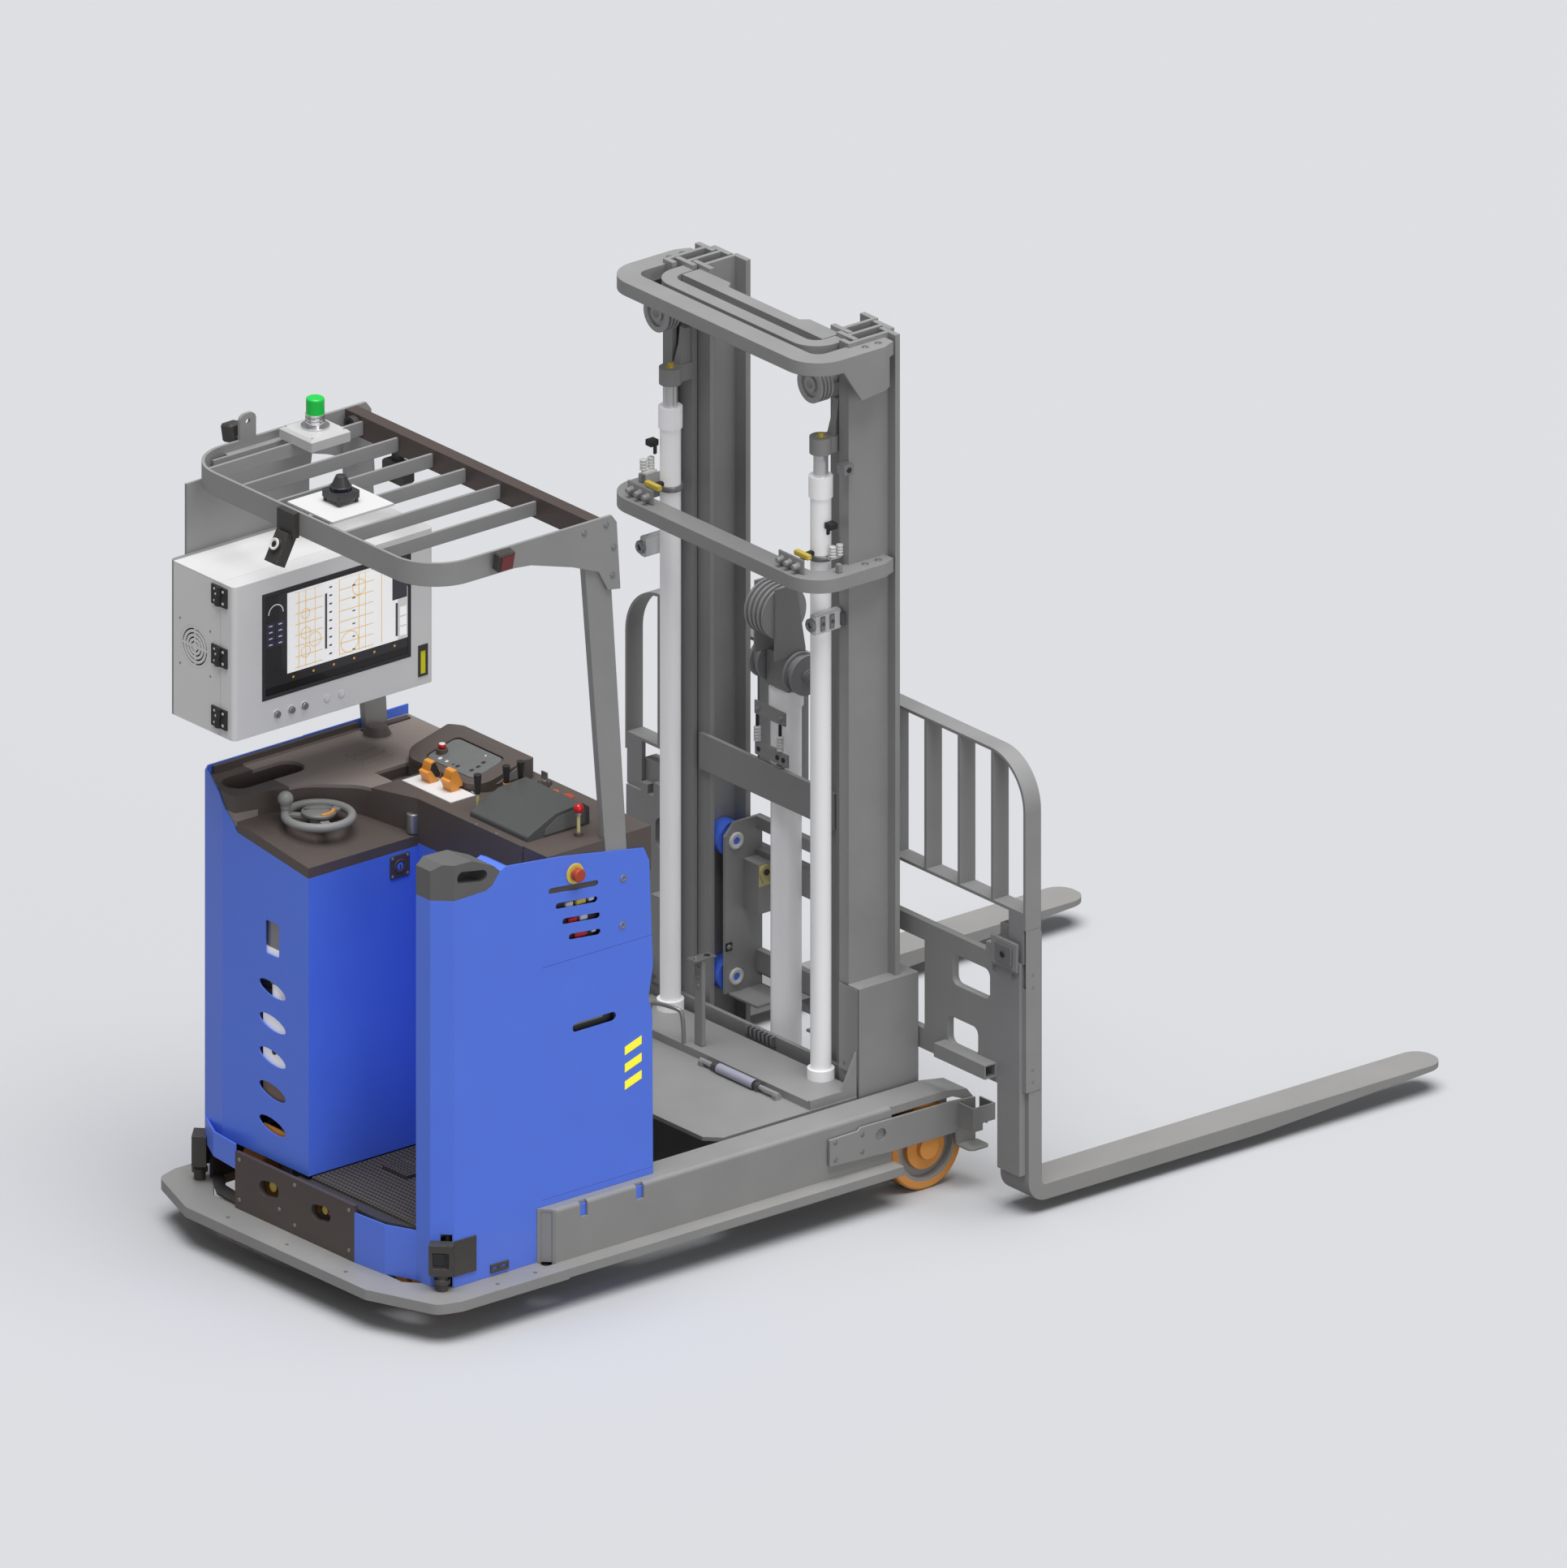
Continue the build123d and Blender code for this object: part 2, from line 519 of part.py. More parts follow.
# Pod shell: thin walls round the drive unit, with the far side panel
def pod_shell():
    far, rear, right, wall = BODY_HALF, POD_REAR_X, POD_RIGHT_Y, SKIN
    strip = [(PLATFORM_X + wall, right), (rear, right), (rear, far - 128), (rear + 27, far - 21), (rear + 53, far),
             (BODY_FRONT_X, far), (BODY_FRONT_X, far - wall), (rear + 55, far - wall), (rear + 31, far - 24),
             (rear + wall, far - 129), (rear + wall, right + wall), (PLATFORM_X + wall, right + wall)]
    low_z = PLATFORM_TOP_Z + MAT_THICK + GAP
    walls = plan_view(strip, (low_z, POD_TOP_Z))
    deck_end = far - 191
    slope = rear_view([(right - 5, steer_deck_under(right - 5)), (deck_end, steer_deck_under(deck_end)),
                       (far - 145, 1224), (far - 106, 1270), (far - 35, POD_TOP_Z - 2), (far + 1, POD_TOP_Z - 1),
                       (far + 1, 1400), (right - 5, 1400)], (rear - 1, PLATFORM_X + wall + 1))
    far_lower = block((rear + 60, LEG_REAR_X - GAP), (far - wall, far), (BUMPER_Z[1] + GAP, low_z + 1))
    corner_in = [(x + wall + 1, y - wall / 2) for x, y in reversed(POD_CORNER[1:])]
    lower = plan_view(POD_CORNER + corner_in + [(APRON_X + wall + 1, POD_CORNER[0][1])], (230, low_z + 20))
    window = block((rear - 1, rear + wall + 1), (152, 210), (872, 968))
    window = fillet(window.edges().filter_by(Axis.X), 9)
    ovals = [Plane((rear, 181, z), x_dir=(0, 1, 0), z_dir=(1, 0, 0)) * Rot(0, 0, 9.5)
             * extrude(Ellipse(57, 20), 6, both=True) for z in (774, 676, 577, 479, 380)]
    shell = welded(walls - slope, far_lower, lower)
    key_hole = block((431, 471), (right - 1, right + wall + 1), (1080, 1120))
    return shell - window - ovals - key_hole


keep("pod_shell", pod_shell(), skirt())
keep("compartment_wall", block((PLATFORM_X, PLATFORM_X + SKIN), (GAP - POST_INNER, POD_RIGHT_Y - GAP),
                               (PLATFORM_TOP_Z, 1150)))


# Console: hollow deck with a curved wall round the sloping steering deck
def console_top():
    rear, front, side = POD_REAR_X + SKIN, BODY_FRONT_X - SKIN, BODY_HALF - SKIN
    wall_x = PLATFORM_X + SKIN + GAP
    bends = [(452, 205), (345, 300)]
    plan = make_face(Polyline((PLATFORM_X, POD_RIGHT_Y), *bends, (rear, side - 172), (rear, side - 125),
                              (rear + 27, side - 20), (rear + 51, side), (front, side), (front, -side), (wall_x, -side),
                              (wall_x, GAP - POST_INNER), (PLATFORM_X, GAP - POST_INNER), close=True))
    plan = fillet([vertex for vertex in plan.vertices() if (vertex.X, vertex.Y) in bends], 110)
    deck = extrude(Pos(0, 0, 1150) * plan, DECK_Z - 1150)
    deck -= extrude(Pos(0, 0, 1149) * offset(plan, -DECK_WALL), DECK_Z - DECK_WALL - 1149)
    steps = [(POD_REAR_X, POD_RIGHT_Y, 330), (rear + GAP, 330, 352)]
    slabs = [rear_view([(low, steer_deck_under(low)), (high, steer_deck_under(high)),
                        (high, steer_deck_under(high) + 30), (low, steer_deck_under(low) + 30)], (x, PLATFORM_X))
             for x, low, high in steps]
    boss = along_z(28, *STEERING_AT, (STEER_DECK_Z, STEERING_Z - 16))
    tray_at = (300, side - 97)
    tray = Pos(*tray_at, DECK_Z) * extrude(SlotOverall(272, 102), -66)
    recess = block((534, 666), (159, 251), (DECK_Z - 44, DECK_Z))
    rim = block((rear + 60, 700), (side - 12, side), (DECK_Z - 2, POD_TOP_Z - 4))
    cone = Pos(715, 445, DECK_Z + 14) * Cone(42, 26, 30)
    ribs = [block((560, 660), (y, y + 8), (DECK_Z - 1, DECK_Z + 3)) for y in (310, 345, 380)]
    top = welded(deck, slabs, boss, tray, recess, rim, cone, ribs)
    top -= Pos(*tray_at, DECK_Z + 1) * extrude(SlotOverall(260, 90), -61)
    top -= block((540, 660), (165, 245), (DECK_Z - 38, DECK_Z + 1))
    top -= [along_z(10 + RUN, *at, (DECK_Z - 20, DECK_Z + 1)) for at in LEVERS_AT]
    rocker_wells = [along_y(ROCKER_R + RUN, at[0], (at[1] - 18, at[1] + 18), DECK_Z + 5) for at in ROCKERS_AT]
    top -= rocker_wells
    top -= [along_z(radius + RUN, *at, (DECK_Z - 20, DECK_Z + 1))
            for radius, at in ((STOP_STEM_R, CONSOLE_STOP), (5, HANDLE_AT), (6, KEY_AT))]
    top -= along_z(10 + RUN, *STEERING_AT, (1100, STEERING_Z))
    top -= along_y(12, SIDE_STOP[0], (-side - 1, -side + DECK_WALL + 1), SIDE_STOP[1])
    top -= both(guard_post(GAP, 2))
    plate = block((560, 645), (-57, 150), (DECK_Z, DECK_Z + 3))
    return [top, plate - rocker_wells]


def guard_post(margin=0, outside=0):
    """The left guard post, or its room in the console."""
    outline = [(POST_FOOT_X[0] - margin, TRAY_Z[1]), (POST_HEAD_X[0] - margin, POST_HEAD_Z),
               (POST_HEAD_X[1] + margin, POST_HEAD_Z), (POST_FOOT_X[1] + margin, TRAY_Z[1])]
    return side_view(outline, (POST_Y[0] - margin, POST_Y[1] + outside))


keep("console_top", console_top())


# Console covers: the hood with its display recess, the armrest, collars and caps
def hood():
    outline = [(650, DECK_Z), (650, DECK_Z + 20), (815, DECK_Z + 62), (858, DECK_Z + 52), (872, DECK_Z)]
    body = side_view(outline, (-60, 270))
    body = fillet(body.edges().filter_by(Axis.Y).group_by(Axis.Z)[-1], 12)
    corners = block((600, 900), (-100, 300), (DECK_Z - 1, DECK_Z + 100))
    corners -= extrude(Pos(762, 105, DECK_Z - 1) * RectangleRounded(224, 330, 60), 100)
    tilt = Plane((732, 95, DECK_Z + 43), x_dir=(165, 0, 42), z_dir=(-42, 0, 165))
    display = tilt * extrude(RectangleRounded(120, 210, 20), 8, both=True)
    button = along_z(6 + RUN, *RED_BUTTON_AT, (DECK_Z + 8, DECK_Z + 70))
    seat = along_z(16, *RED_BUTTON_AT, (DECK_Z + 4, DECK_Z + 46))
    return welded(body - corners - display, seat) - button


def armrest():
    outline = [(543, DECK_Z), (543, DECK_Z + 14), (640, DECK_Z + 58), (735, DECK_Z + 65), (758, DECK_Z + 48),
               (758, DECK_Z)]
    body = side_view(outline, (-402, -160))
    return fillet(body.edges().filter_by(Axis.Y).group_by(Axis.Z)[1:], 8)


def collar(outer, bore, at, height):
    ring = along_z(outer, *at, (DECK_Z, DECK_Z + height))
    return ring - along_z(bore + RUN, *at, (DECK_Z - 1, DECK_Z + height + 1))


keep("console_covers", hood(), armrest(),
     [collar(16, 10, at, 4) for at in LEVERS_AT],
     collar(24, STOP_STEM_R, CONSOLE_STOP, 8), collar(12, 5, HANDLE_AT, 10), collar(15, 6, KEY_AT, 6),
     along_z(17, 792, -205, (DECK_Z, DECK_Z + 22)), along_z(14, 800, -160, (DECK_Z, DECK_Z + 26)))

# Controls on the console
for number, (x, y) in enumerate(LEVERS_AT, 1):
    ball = Pos(x, y, DECK_Z - 2) * Sphere(10)
    rod = along_z(4, x, y, (DECK_Z - 2, DECK_Z + 62))
    grip = Pos(x, y, DECK_Z + 76) * Cone(7, 11, 56)
    keep(f"control_lever_{number}", welded(ball, rod, grip))
for number, (x, y) in enumerate(ROCKERS_AT, 1):
    drum = along_y(ROCKER_R, x, (y - 17.7, y + 17.7), DECK_Z + 5)
    fin = side_view([(x - 13, DECK_Z + 8), (x - 24, DECK_Z + 34), (x - 10, DECK_Z + 40), (x + 4, DECK_Z + 20),
                     (x + 14, DECK_Z + 6)], (y - 17.7, y + 17.7))
    keep(f"rocker_{number}", welded(drum, fin))


def push_button(head, stem, low, high, foot):
    """A mushroom head on a stem, pointing up."""
    button = Pos(0, 0, (low + high) / 2) * Cylinder(head, high - low)
    button = fillet(button.edges().group_by(Axis.Z)[-1], min(4, (high - low) / 3))
    return welded(button, Pos(0, 0, (foot + low) / 2) * Cylinder(stem, low - foot + 1))


keep("console_stop_button", Pos(*CONSOLE_STOP, DECK_Z) * push_button(20, STOP_STEM_R, 12.5, 30, -14))
keep("side_stop_button", Pos(SIDE_STOP[0], -BODY_HALF, SIDE_STOP[1]) * Rot(90, 0, 0)
     * push_button(19, STOP_STEM_R, 9, 26, -12))
keep("red_button", Pos(*RED_BUTTON_AT, DECK_Z) * push_button(11, 6, 50.5, 59, 12))
keep("release_handle", welded(along_z(5, *HANDLE_AT, (DECK_Z - 60, DECK_Z + 76)),
                              Pos(*HANDLE_AT, DECK_Z + 78) * Sphere(14)))
keep("key_switch", welded(along_z(6, *KEY_AT, (DECK_Z - 12, DECK_Z + 8)),
                          along_z(10, *KEY_AT, (DECK_Z + 6.5, DECK_Z + 12)),
                          block((KEY_AT[0] - 2, KEY_AT[0] + 2), (KEY_AT[1] - 12, KEY_AT[1] + 12),
                                (DECK_Z + 11, DECK_Z + 34))))


# Steering wheel lying flat over the steering deck, with its spinner knob
def steering_wheel():
    rim_r = STEERING_R - 12
    rim = Pos(*STEERING_AT, STEERING_Z) * Torus(rim_r, 12)
    hub = along_z(26, *STEERING_AT, (STEERING_Z - 15.5, STEERING_Z + 6))
    hub += along_z(10, *STEERING_AT, (1130, STEERING_Z - 15))
    spokes = [Pos(*STEERING_AT, STEERING_Z - 3) * Rot(0, 0, turn) * Pos(rim_r / 2, 0, 0) * Box(rim_r, 24, 8)
              for turn in (130, 250, 10)]
    boss = along_z(13, *KNOB_AT, (STEERING_Z, STEERING_Z + 14))
    return welded(rim, hub, spokes, boss) - along_z(5 + RUN, *KNOB_AT, (STEERING_Z - 4, STEERING_Z + 20))


keep("steering_wheel", steering_wheel())
keep("steering_knob", welded(along_z(5, *KNOB_AT, (STEERING_Z - 3, STEERING_Z + 20)),
                             along_z(14, *KNOB_AT, (STEERING_Z + 14.3, STEERING_Z + 28)),
                             Pos(*KNOB_AT, STEERING_Z + 42) * Sphere(21)))

# Battery: a steel trough with a lid, on the tray between the posts
def battery():
    rear, front, half, top = LEG_REAR_X + 77, BODY_FRONT_X - 6, POST_Y[0] - 5, BATTERY_TOP_Z
    trough = block((rear, front), (-half, half), (TRAY_Z[1], top - 30))
    lid = block((rear + 4, front - 4), (4 - half, half - 4), (top - 31, top))
    wells = [block((600, 840), (y - 40, y + 40), (top - 8, top + 1)) for y in (130 - half, 0, half - 130)]
    return welded(trough, lid) - wells


keep("battery", battery())


# Grab handle over the rear post, with a finger opening
def grab_handle():
    outline = [(POST_REAR_X, 1234), (POST_REAR_X, 1318), (172, 1338), (255, 1335), (330, 1302), (352, 1282),
               (325, 1247), (303, 1237)]
    body = side_view(outline, (-BODY_HALF, -POST_INNER))
    middle = Plane((256, -(BODY_HALF + POST_INNER) / 2, 1289), x_dir=(1, 0, 0), z_dir=(0, -1, 0))
    opening = slot_hole(104, 34, 300, middle * Rot(0, 0, -10))
    return body - post_corner() - opening


keep("grab_handle", grab_handle())


# Corner scanners: a housing on each rear corner, its scanning head and a side plate
def corner_scanner():
    first, last = (POST_REAR_X, BODY_HALF - POST_CHAMFER), (POST_REAR_X + POST_CHAMFER, BODY_HALF)
    out = [(first[0] - 28, first[1] + 28), (last[0] - 28, last[1] + 28)]
    housing = plan_view([out[0], first, last, out[1]], (165, 252))
    plate = plan_view([last, (268, last[1]), (268, last[1] + 4), (190, last[1] + 4), out[1]], (150, 252))
    window = Pos(144, BODY_HALF + 4, 208) * Rot(0, 0, 45) * Box(44, 24, 46)
    head_at = (158, BODY_HALF - 7)
    head = welded(along_z(16, *head_at, (BUMPER_Z[1], 166)), along_z(22, *head_at, (140, 152)))
    return [welded(housing, plate) - window,
            head - block((POST_REAR_X, 200), (BODY_HALF - 121, BODY_HALF - 24), (130, 160))]


def scanner_tab():
    """The small plate with two slots behind the right scanner."""
    tab = block((318, 380), (-BODY_HALF - 4, -BODY_HALF), (128, 152))
    face = Plane((0, -BODY_HALF - 2, 140), x_dir=(1, 0, 0), z_dir=(0, -1, 0))
    return tab - [slot_hole(20, 8, 20, face * Pos(x, 0, 0)) for x in (334, 364)]


pod_corner = plan_view(POD_CORNER + [(300, BODY_HALF), (300, BODY_HALF - 121)], (229, 260))
keep("corner_scanners", [one - pod_corner for one in corner_scanner()],
     [mirror(one, Plane.XZ) for one in corner_scanner()], scanner_tab())


# Overhead guard: a flat band round three sides, side plates and roof bars
def guard_frame():
    low, high = GUARD_TOP_Z - GUARD_DEEP, GUARD_TOP_Z

    def round_end(rear, half, radius, front):
        face = make_face(Polyline((rear, -half), (rear, half), (front, half), (front, -half), close=True))
        return fillet(face.vertices().group_by(Axis.X)[0], radius)
    outside = extrude(Pos(0, 0, low) * round_end(GUARD_REAR_X, GUARD_HALF, GUARD_CORNER_R, 420), high - low)
    inside = extrude(Pos(0, 0, low - 1) * round_end(GUARD_REAR_X + GUARD_BAR, GUARD_HALF - GUARD_BAR,
                                                    GUARD_CORNER_R - GUARD_BAR, 421), high - low + 2)
    plate = side_view([(400, high), (735, high), (752, 2190), (765, 1994), (722, 2001), (690, 2060), (601, 2097),
                       (456, 2140), (400, low)], (POST_Y[1], GUARD_HALF))
    bars = [block((GUARD_REAR_X + (5 if abs(y) < 400 else 17), BEAM_X[0]), (y - GUARD_BAR / 2, y + GUARD_BAR / 2),
                  ROOF_BAR_Z) for y in ROOF_BARS_Y]
    tab = block((298, 354), (GUARD_HALF - GUARD_BAR, GUARD_HALF), (high - 1, 2286))
    tab = fillet(tab.edges().filter_by(Axis.Y).group_by(Axis.Z)[-1], 20)
    tab -= along_y(8, 326, (GUARD_HALF - 25, GUARD_HALF + 15), 2262)
    return welded(outside - inside, both(plate), bars, tab)


keep("guard_frame", guard_frame())


# Front beam: a channel across the guard between the posts' heads
def guard_front_beam():
    low, half = GUARD_TOP_Z - BEAM_DEEP, POST_Y[1]
    web = block((BEAM_X[0], BEAM_X[0] + 6), (-half, half), (low, GUARD_TOP_Z))
    return welded(web, [block(BEAM_X, (-half, half), z) for z in ((low, low + 6), (GUARD_TOP_Z - 6, GUARD_TOP_Z))])


keep("guard_front_beam", guard_front_beam())
keep("guard_posts", both(guard_post()))


# Roof fittings: stack light, scanner dome, cameras, lamps and horn
def stack_light():
    """A box on the roof bars, a ribbed foot and the lens, from the bottom up."""
    top = ROOF_BAR_Z[1]
    box = chamfer(block((412, 547), (352, 489), (top, top + 35)).edges().group_by(Axis.Z)[-1], 8)
    foot = welded(along_z(39, *LIGHT_AT, (top + 35, top + 41)), along_z(25, *LIGHT_AT, (top + 41, top + 74)),
                  [along_z(27, *LIGHT_AT, (top + z, top + z + 4)) for z in (50, 60, 70)])
    lens = along_z(25, *LIGHT_AT, (top + 74, top + 120))
    return [box, foot, fillet(lens.edges().group_by(Axis.Z)[-1], 6)]


def lidar_unit():
    """The scanner dome on four feet over its plate."""
    (x, y), top, half = LIDAR_AT, ROOF_BAR_Z[1], 38
    plate = block((134, 348), (-77, 115), (top, top + 6))
    feet = [along_z(5, x + dx, y + dy, (top + 6, top + 20)) for dx in (-30, 30) for dy in (-30, 30)]
    body = block((x - half, x + half), (y - half, y + half), (top + 20, top + 40))
    dome = welded(along_z(30, x, y, (top + 40, top + 52)), Pos(x, y, top + 66) * Cone(27, 14, 30))
    return [plate, feet, fillet(body.edges().filter_by(Axis.Z), 8), dome]


keep("stack_light", stack_light())
keep("lidar_unit", lidar_unit())


def guard_cameras():
    rear_arm = block((GUARD_REAR_X - 22, GUARD_REAR_X), (20, 88), (2140, GUARD_TOP_Z))
    rear_body = Pos(62, 54, 2108) * Rot(0, 28, 0) * Box(34, 50, 90)
    rear_lens = Pos(62, 54, 2108) * Rot(0, 28, 0) * Pos(-20, 0, 8) * Rot(0, 90, 0) * Cylinder(14, 10)
    lamp_arm = block((326, 352), (-GUARD_HALF - 14, -GUARD_HALF), (2178, 2206))
    lamp = Pos(339, -GUARD_HALF - 28, 2194) * Rot(12, 0, 0) * Box(56, 30, 56)
    lamp = chamfer(lamp.edges(), 5)
    far_arm = block((300, 324), (GUARD_HALF, GUARD_HALF + 16), (2196, 2218))
    far_lamp = Pos(312, GUARD_HALF + 38, 2222) * Rot(-12, 0, 0) * Box(50, 46, 52)
    front_arm = block((672, 690), (300, 332), (2120, GUARD_TOP_Z - BEAM_DEEP))
    front_body = chamfer(block((662, 702), (272, 360), (2062, 2122)).edges().filter_by(Axis.X), 8)
    front_lens = along_x(18, (654, 664), 316, 2092)
    horn = along_x(26, (BEAM_X[0] - 18, BEAM_X[0]), 474, 2181)
    horn -= along_x(18, (BEAM_X[0] - 19, BEAM_X[0] - 12), 474, 2181)
    return [welded(rear_arm, rear_body, rear_lens), welded(lamp_arm, lamp),
            welded(far_arm, chamfer(far_lamp.edges(), 6)), welded(front_arm, front_body, front_lens), horn]


keep("guard_cameras", guard_cameras())


# Cabinet: a box open towards its door, hung on a plate from the guard
def cabinet_box():
    wall, (x0, x1), (z0, z1) = CABINET_WALL, CABINET_X, CABINET_Z
    y0, y1 = CABINET_Y[0] + DOOR_DEEP + GAP, CABINET_Y[1]
    low = GUARD_TOP_Z - GUARD_DEEP
    outside = block((x0, x1), (y0, y1), (z0, z1))
    outside = fillet(outside.edges().filter_by(Axis.Z).group_by(Axis.Y)[-1], 14)
    inside = block((x0 + wall, x1 - wall), (y0 - 1, y1 - wall), (z0 + wall, z1 - wall))
    inside = fillet(inside.edges().filter_by(Axis.Z).group_by(Axis.Y)[-1], 14 - wall)
    shell = outside - inside - along_x(FAN_R + GAP, (x0 - 1, x0 + wall + 1), *FAN_AT)
    folded = y1 - 15                 # the back is a tray, and four flat sheets close its sides
    sheets = [((x0, x1), (folded, y1), (z0, z1)), ((x0, x1), (y0, folded), (z1 - wall, z1)),
              ((x0, x1), (y0, folded), (z0, z0 + wall)), ((x0, x0 + wall), (y0, folded), (z0 + wall, z1 - wall)),
              ((x1 - wall, x1), (y0, folded), (z0 + wall, z1 - wall))]
    box = [shell & block(*sheet) for sheet in sheets]
    computer = block((120, 420), (y1 - wall - 90, y1 - wall - GAP), (1560, 1800))
    supply = block((480, 660), (y1 - wall - 60, y1 - wall - GAP), (1600, 1760))
    plate = side_view([(96, 1560), (520, 1560), (520, 2060), (540, 2190), (190, 2190), (190, low), (96, low)],
                      (y1, y1 + 8))
    shelf = block((245, 500), (y1, POST_Y[1]), (2182, 2190))
    return box + [welded(plate, shelf), fan_grille(x0, x0 + wall), computer, supply]


def fan_grille(rear, front):
    """A round insert with three rings held by a cross."""
    fan_y, fan_z = FAN_AT
    through = (rear - 1, front + 1)
    grille = along_x(FAN_R, (rear, front), fan_y, fan_z)
    gaps = [along_x(radius + 4, through, fan_y, fan_z) - along_x(radius, through, fan_y, fan_z)
            for radius in (48, 36, 24, 12)]
    cross = welded(block(through, (fan_y - FAN_R, fan_y + FAN_R), (fan_z - 3, fan_z + 3)),
                   block(through, (fan_y - 3, fan_y + 3), (fan_z - FAN_R, fan_z + FAN_R)))
    return grille - [gap - cross for gap in gaps]


def box_hinge(z):
    """The lower half of a hinge, with its pin, on the cabinet box."""
    x, y = HINGE_AT
    low = z - HINGE_HALF
    leaf = block((x, CABINET_X[0]), (y + 7, y + 32), (low, z + HINGE_HALF))
    barrel = welded(along_z(6, x, y, (low, z - GAP)), block((x - 6, x), (y, y + 10), (low, z - GAP)),
                    along_z(3, x, y, (z - 1, z + 24)))
    return welded(leaf, barrel)


keep("cabinet_box", cabinet_box(), [box_hinge(z) for z in HINGES_Z])


# Cabinet door: a tray with the screen, a lamp window, button holes and its hinge halves
def cabinet_door():
    wall, (x0, x1), (z0, z1) = CABINET_WALL, CABINET_X, CABINET_Z
    y0, y1 = CABINET_Y[0], CABINET_Y[0] + DOOR_DEEP
    door = block((x0, x1), (y0, y1), (z0, z1))
    door = fillet(door.edges().filter_by(Axis.Z).group_by(Axis.Y)[0], 14)
    inside = block((x0 + wall, x1 - wall), (y0 + wall, y1 + 1), (z0 + wall, z1 - wall))
    door -= fillet(inside.edges().filter_by(Axis.Z).group_by(Axis.Y)[0], 14 - wall)
    back = block((SCREEN_X[0] - 3, SCREEN_X[1] + 3), (y0 + 1, y0 + 8), (SCREEN_Z[0] - 3, SCREEN_Z[1] + 3))
    door = welded(door, back) - block(SCREEN_X, (y0 - 1, y0 + 5), SCREEN_Z)
    door -= [along_y(6 + RUN, x, (y0 - 1, y0 + wall + 1), DOOR_BUTTONS_Z) for x in DOOR_BUTTONS_X]
    screen = block(SCREEN_X, (y0 - 1, y0 + 5), SCREEN_Z)
    screen -= block((SCREEN_X[0] + 10, SCREEN_X[1] - 10), (y0 - 2, y0 + 1), (SCREEN_Z[0] + 10, SCREEN_Z[1] - 10))
    lamp = block((674, 706), (y0 - 3, y0), (1527, 1617))
    lamp -= block((681, 699), (y0 - 4, y0 - 1), (1534, 1600))
    discs = [along_y(11, x, (y0 - 1.5, y0), DOOR_BUTTONS_Z) for x in (360, 410)]
    return [door, screen, lamp, discs, [door_hinge(z) for z in HINGES_Z]]


def door_hinge(z):
    """The upper half of a hinge, which turns on the box's pin."""
    x, y = HINGE_AT
    leaf = block((x, CABINET_X[0]), (y - 32, y - 7), (z - HINGE_HALF, z + HINGE_HALF))
    barrel = welded(block((x - 6, x), (y - 10, y), (z, z + HINGE_HALF)), along_z(6, x, y, (z, z + HINGE_HALF)))
    return welded(leaf, barrel) - along_z(3 + RUN, x, y, (z - 1, z + 25))


keep("cabinet_door", cabinet_door())
for number, x in enumerate(DOOR_BUTTONS_X, 1):
    keep(f"door_button_{number}",
         Pos(x, CABINET_Y[0], DOOR_BUTTONS_Z) * Rot(90, 0, 0) * push_button(10, 6, 3.5, 8, -7))


# Drive unit: motor, turntable flange and gearbox arm; its wheel runs on a stub axle
def drive_unit():
    x, y = DRIVE_AT
    motor = along_z(100, x, y, (TURNTABLE_Z + 60, 950))
    bands = [along_z(106, x, y, (z, z + 24)) for z in (500, 700, 920)]
    flange = along_z(118, x, y, (TURNTABLE_Z + 14 + GAP, TURNTABLE_Z + 62))
    neck = along_z(DRIVE_NECK_R - RUN, x, y, (TURNTABLE_Z - 30, TURNTABLE_Z + 16))
    arm = block((x - 62, x + 62), (y - 104, y - 54), (DRIVE_WHEEL_R - 60, TURNTABLE_Z - 20))
    arm = fillet(arm.edges().filter_by(Axis.Y).group_by(Axis.Z)[0], 50)
    head = block((x - 62, x + 62), (y - 104, y + 50), (TURNTABLE_Z - 60, TURNTABLE_Z - 20))
    head -= [plan_view([(x + s * 64, y - 106), (x + s * 64, y - 80), (x + s * 40, y - 106)], (0, 500))
             for s in (-1, 1)]
    axle = along_y(20, x, (y - 60, y + 36), DRIVE_WHEEL_R)
    return welded(motor, bands, flange, neck, arm, head, axle)


def drive_wheel():
    x, y = DRIVE_AT
    half = DRIVE_WHEEL_WIDE / 2

    def ring(radius, low, high):
        return along_y(radius, x, (y + low, y + high), DRIVE_WHEEL_R)
    tyre = chamfer(ring(DRIVE_WHEEL_R, -half, half).edges().filter_by(GeomType.CIRCLE), 6) - ring(112, -half, half)
    hub = ring(112, -half, half) - ring(96, half - 24, half) - ring(20 + RUN, -half, half - 8)
    return [tyre, hub]


keep("drive_unit", drive_unit())
keep("drive_wheel", drive_wheel())


# Caster: a stem in the chassis seat, a single leg behind it and a pair of wheels
def caster_fork():
    x, y = CASTER_AT
    stem = along_z(18, x, y, (200, 255))
    head = along_z(48, x, y, (204, 225 - GAP))
    leg = side_view([(x - 46, 205), (x + 40, 205), (x + 20, 170), (x - CASTER_TRAIL + 24, 60),
                     (x - CASTER_TRAIL - 24, 60)], (y - 11, y + 11))
    axle = along_y(12, x - CASTER_TRAIL, (y - 57, y + 57), CASTER_WHEEL_R)
    return welded(stem, head, leg, axle)


def caster_wheels():
    x, y = CASTER_AT[0] - CASTER_TRAIL, CASTER_AT[1]
    wheels = []
    for low, high in ((y - 57, y - 12), (y + 12, y + 57)):
        wheel = along_y(CASTER_WHEEL_R, x, (low, high), CASTER_WHEEL_R)
        wheel = chamfer(wheel.edges().filter_by(GeomType.CIRCLE), 5)
        wheels.append(wheel - along_y(12 + RUN, x, (low - 1, high + 1), CASTER_WHEEL_R))
    return wheels


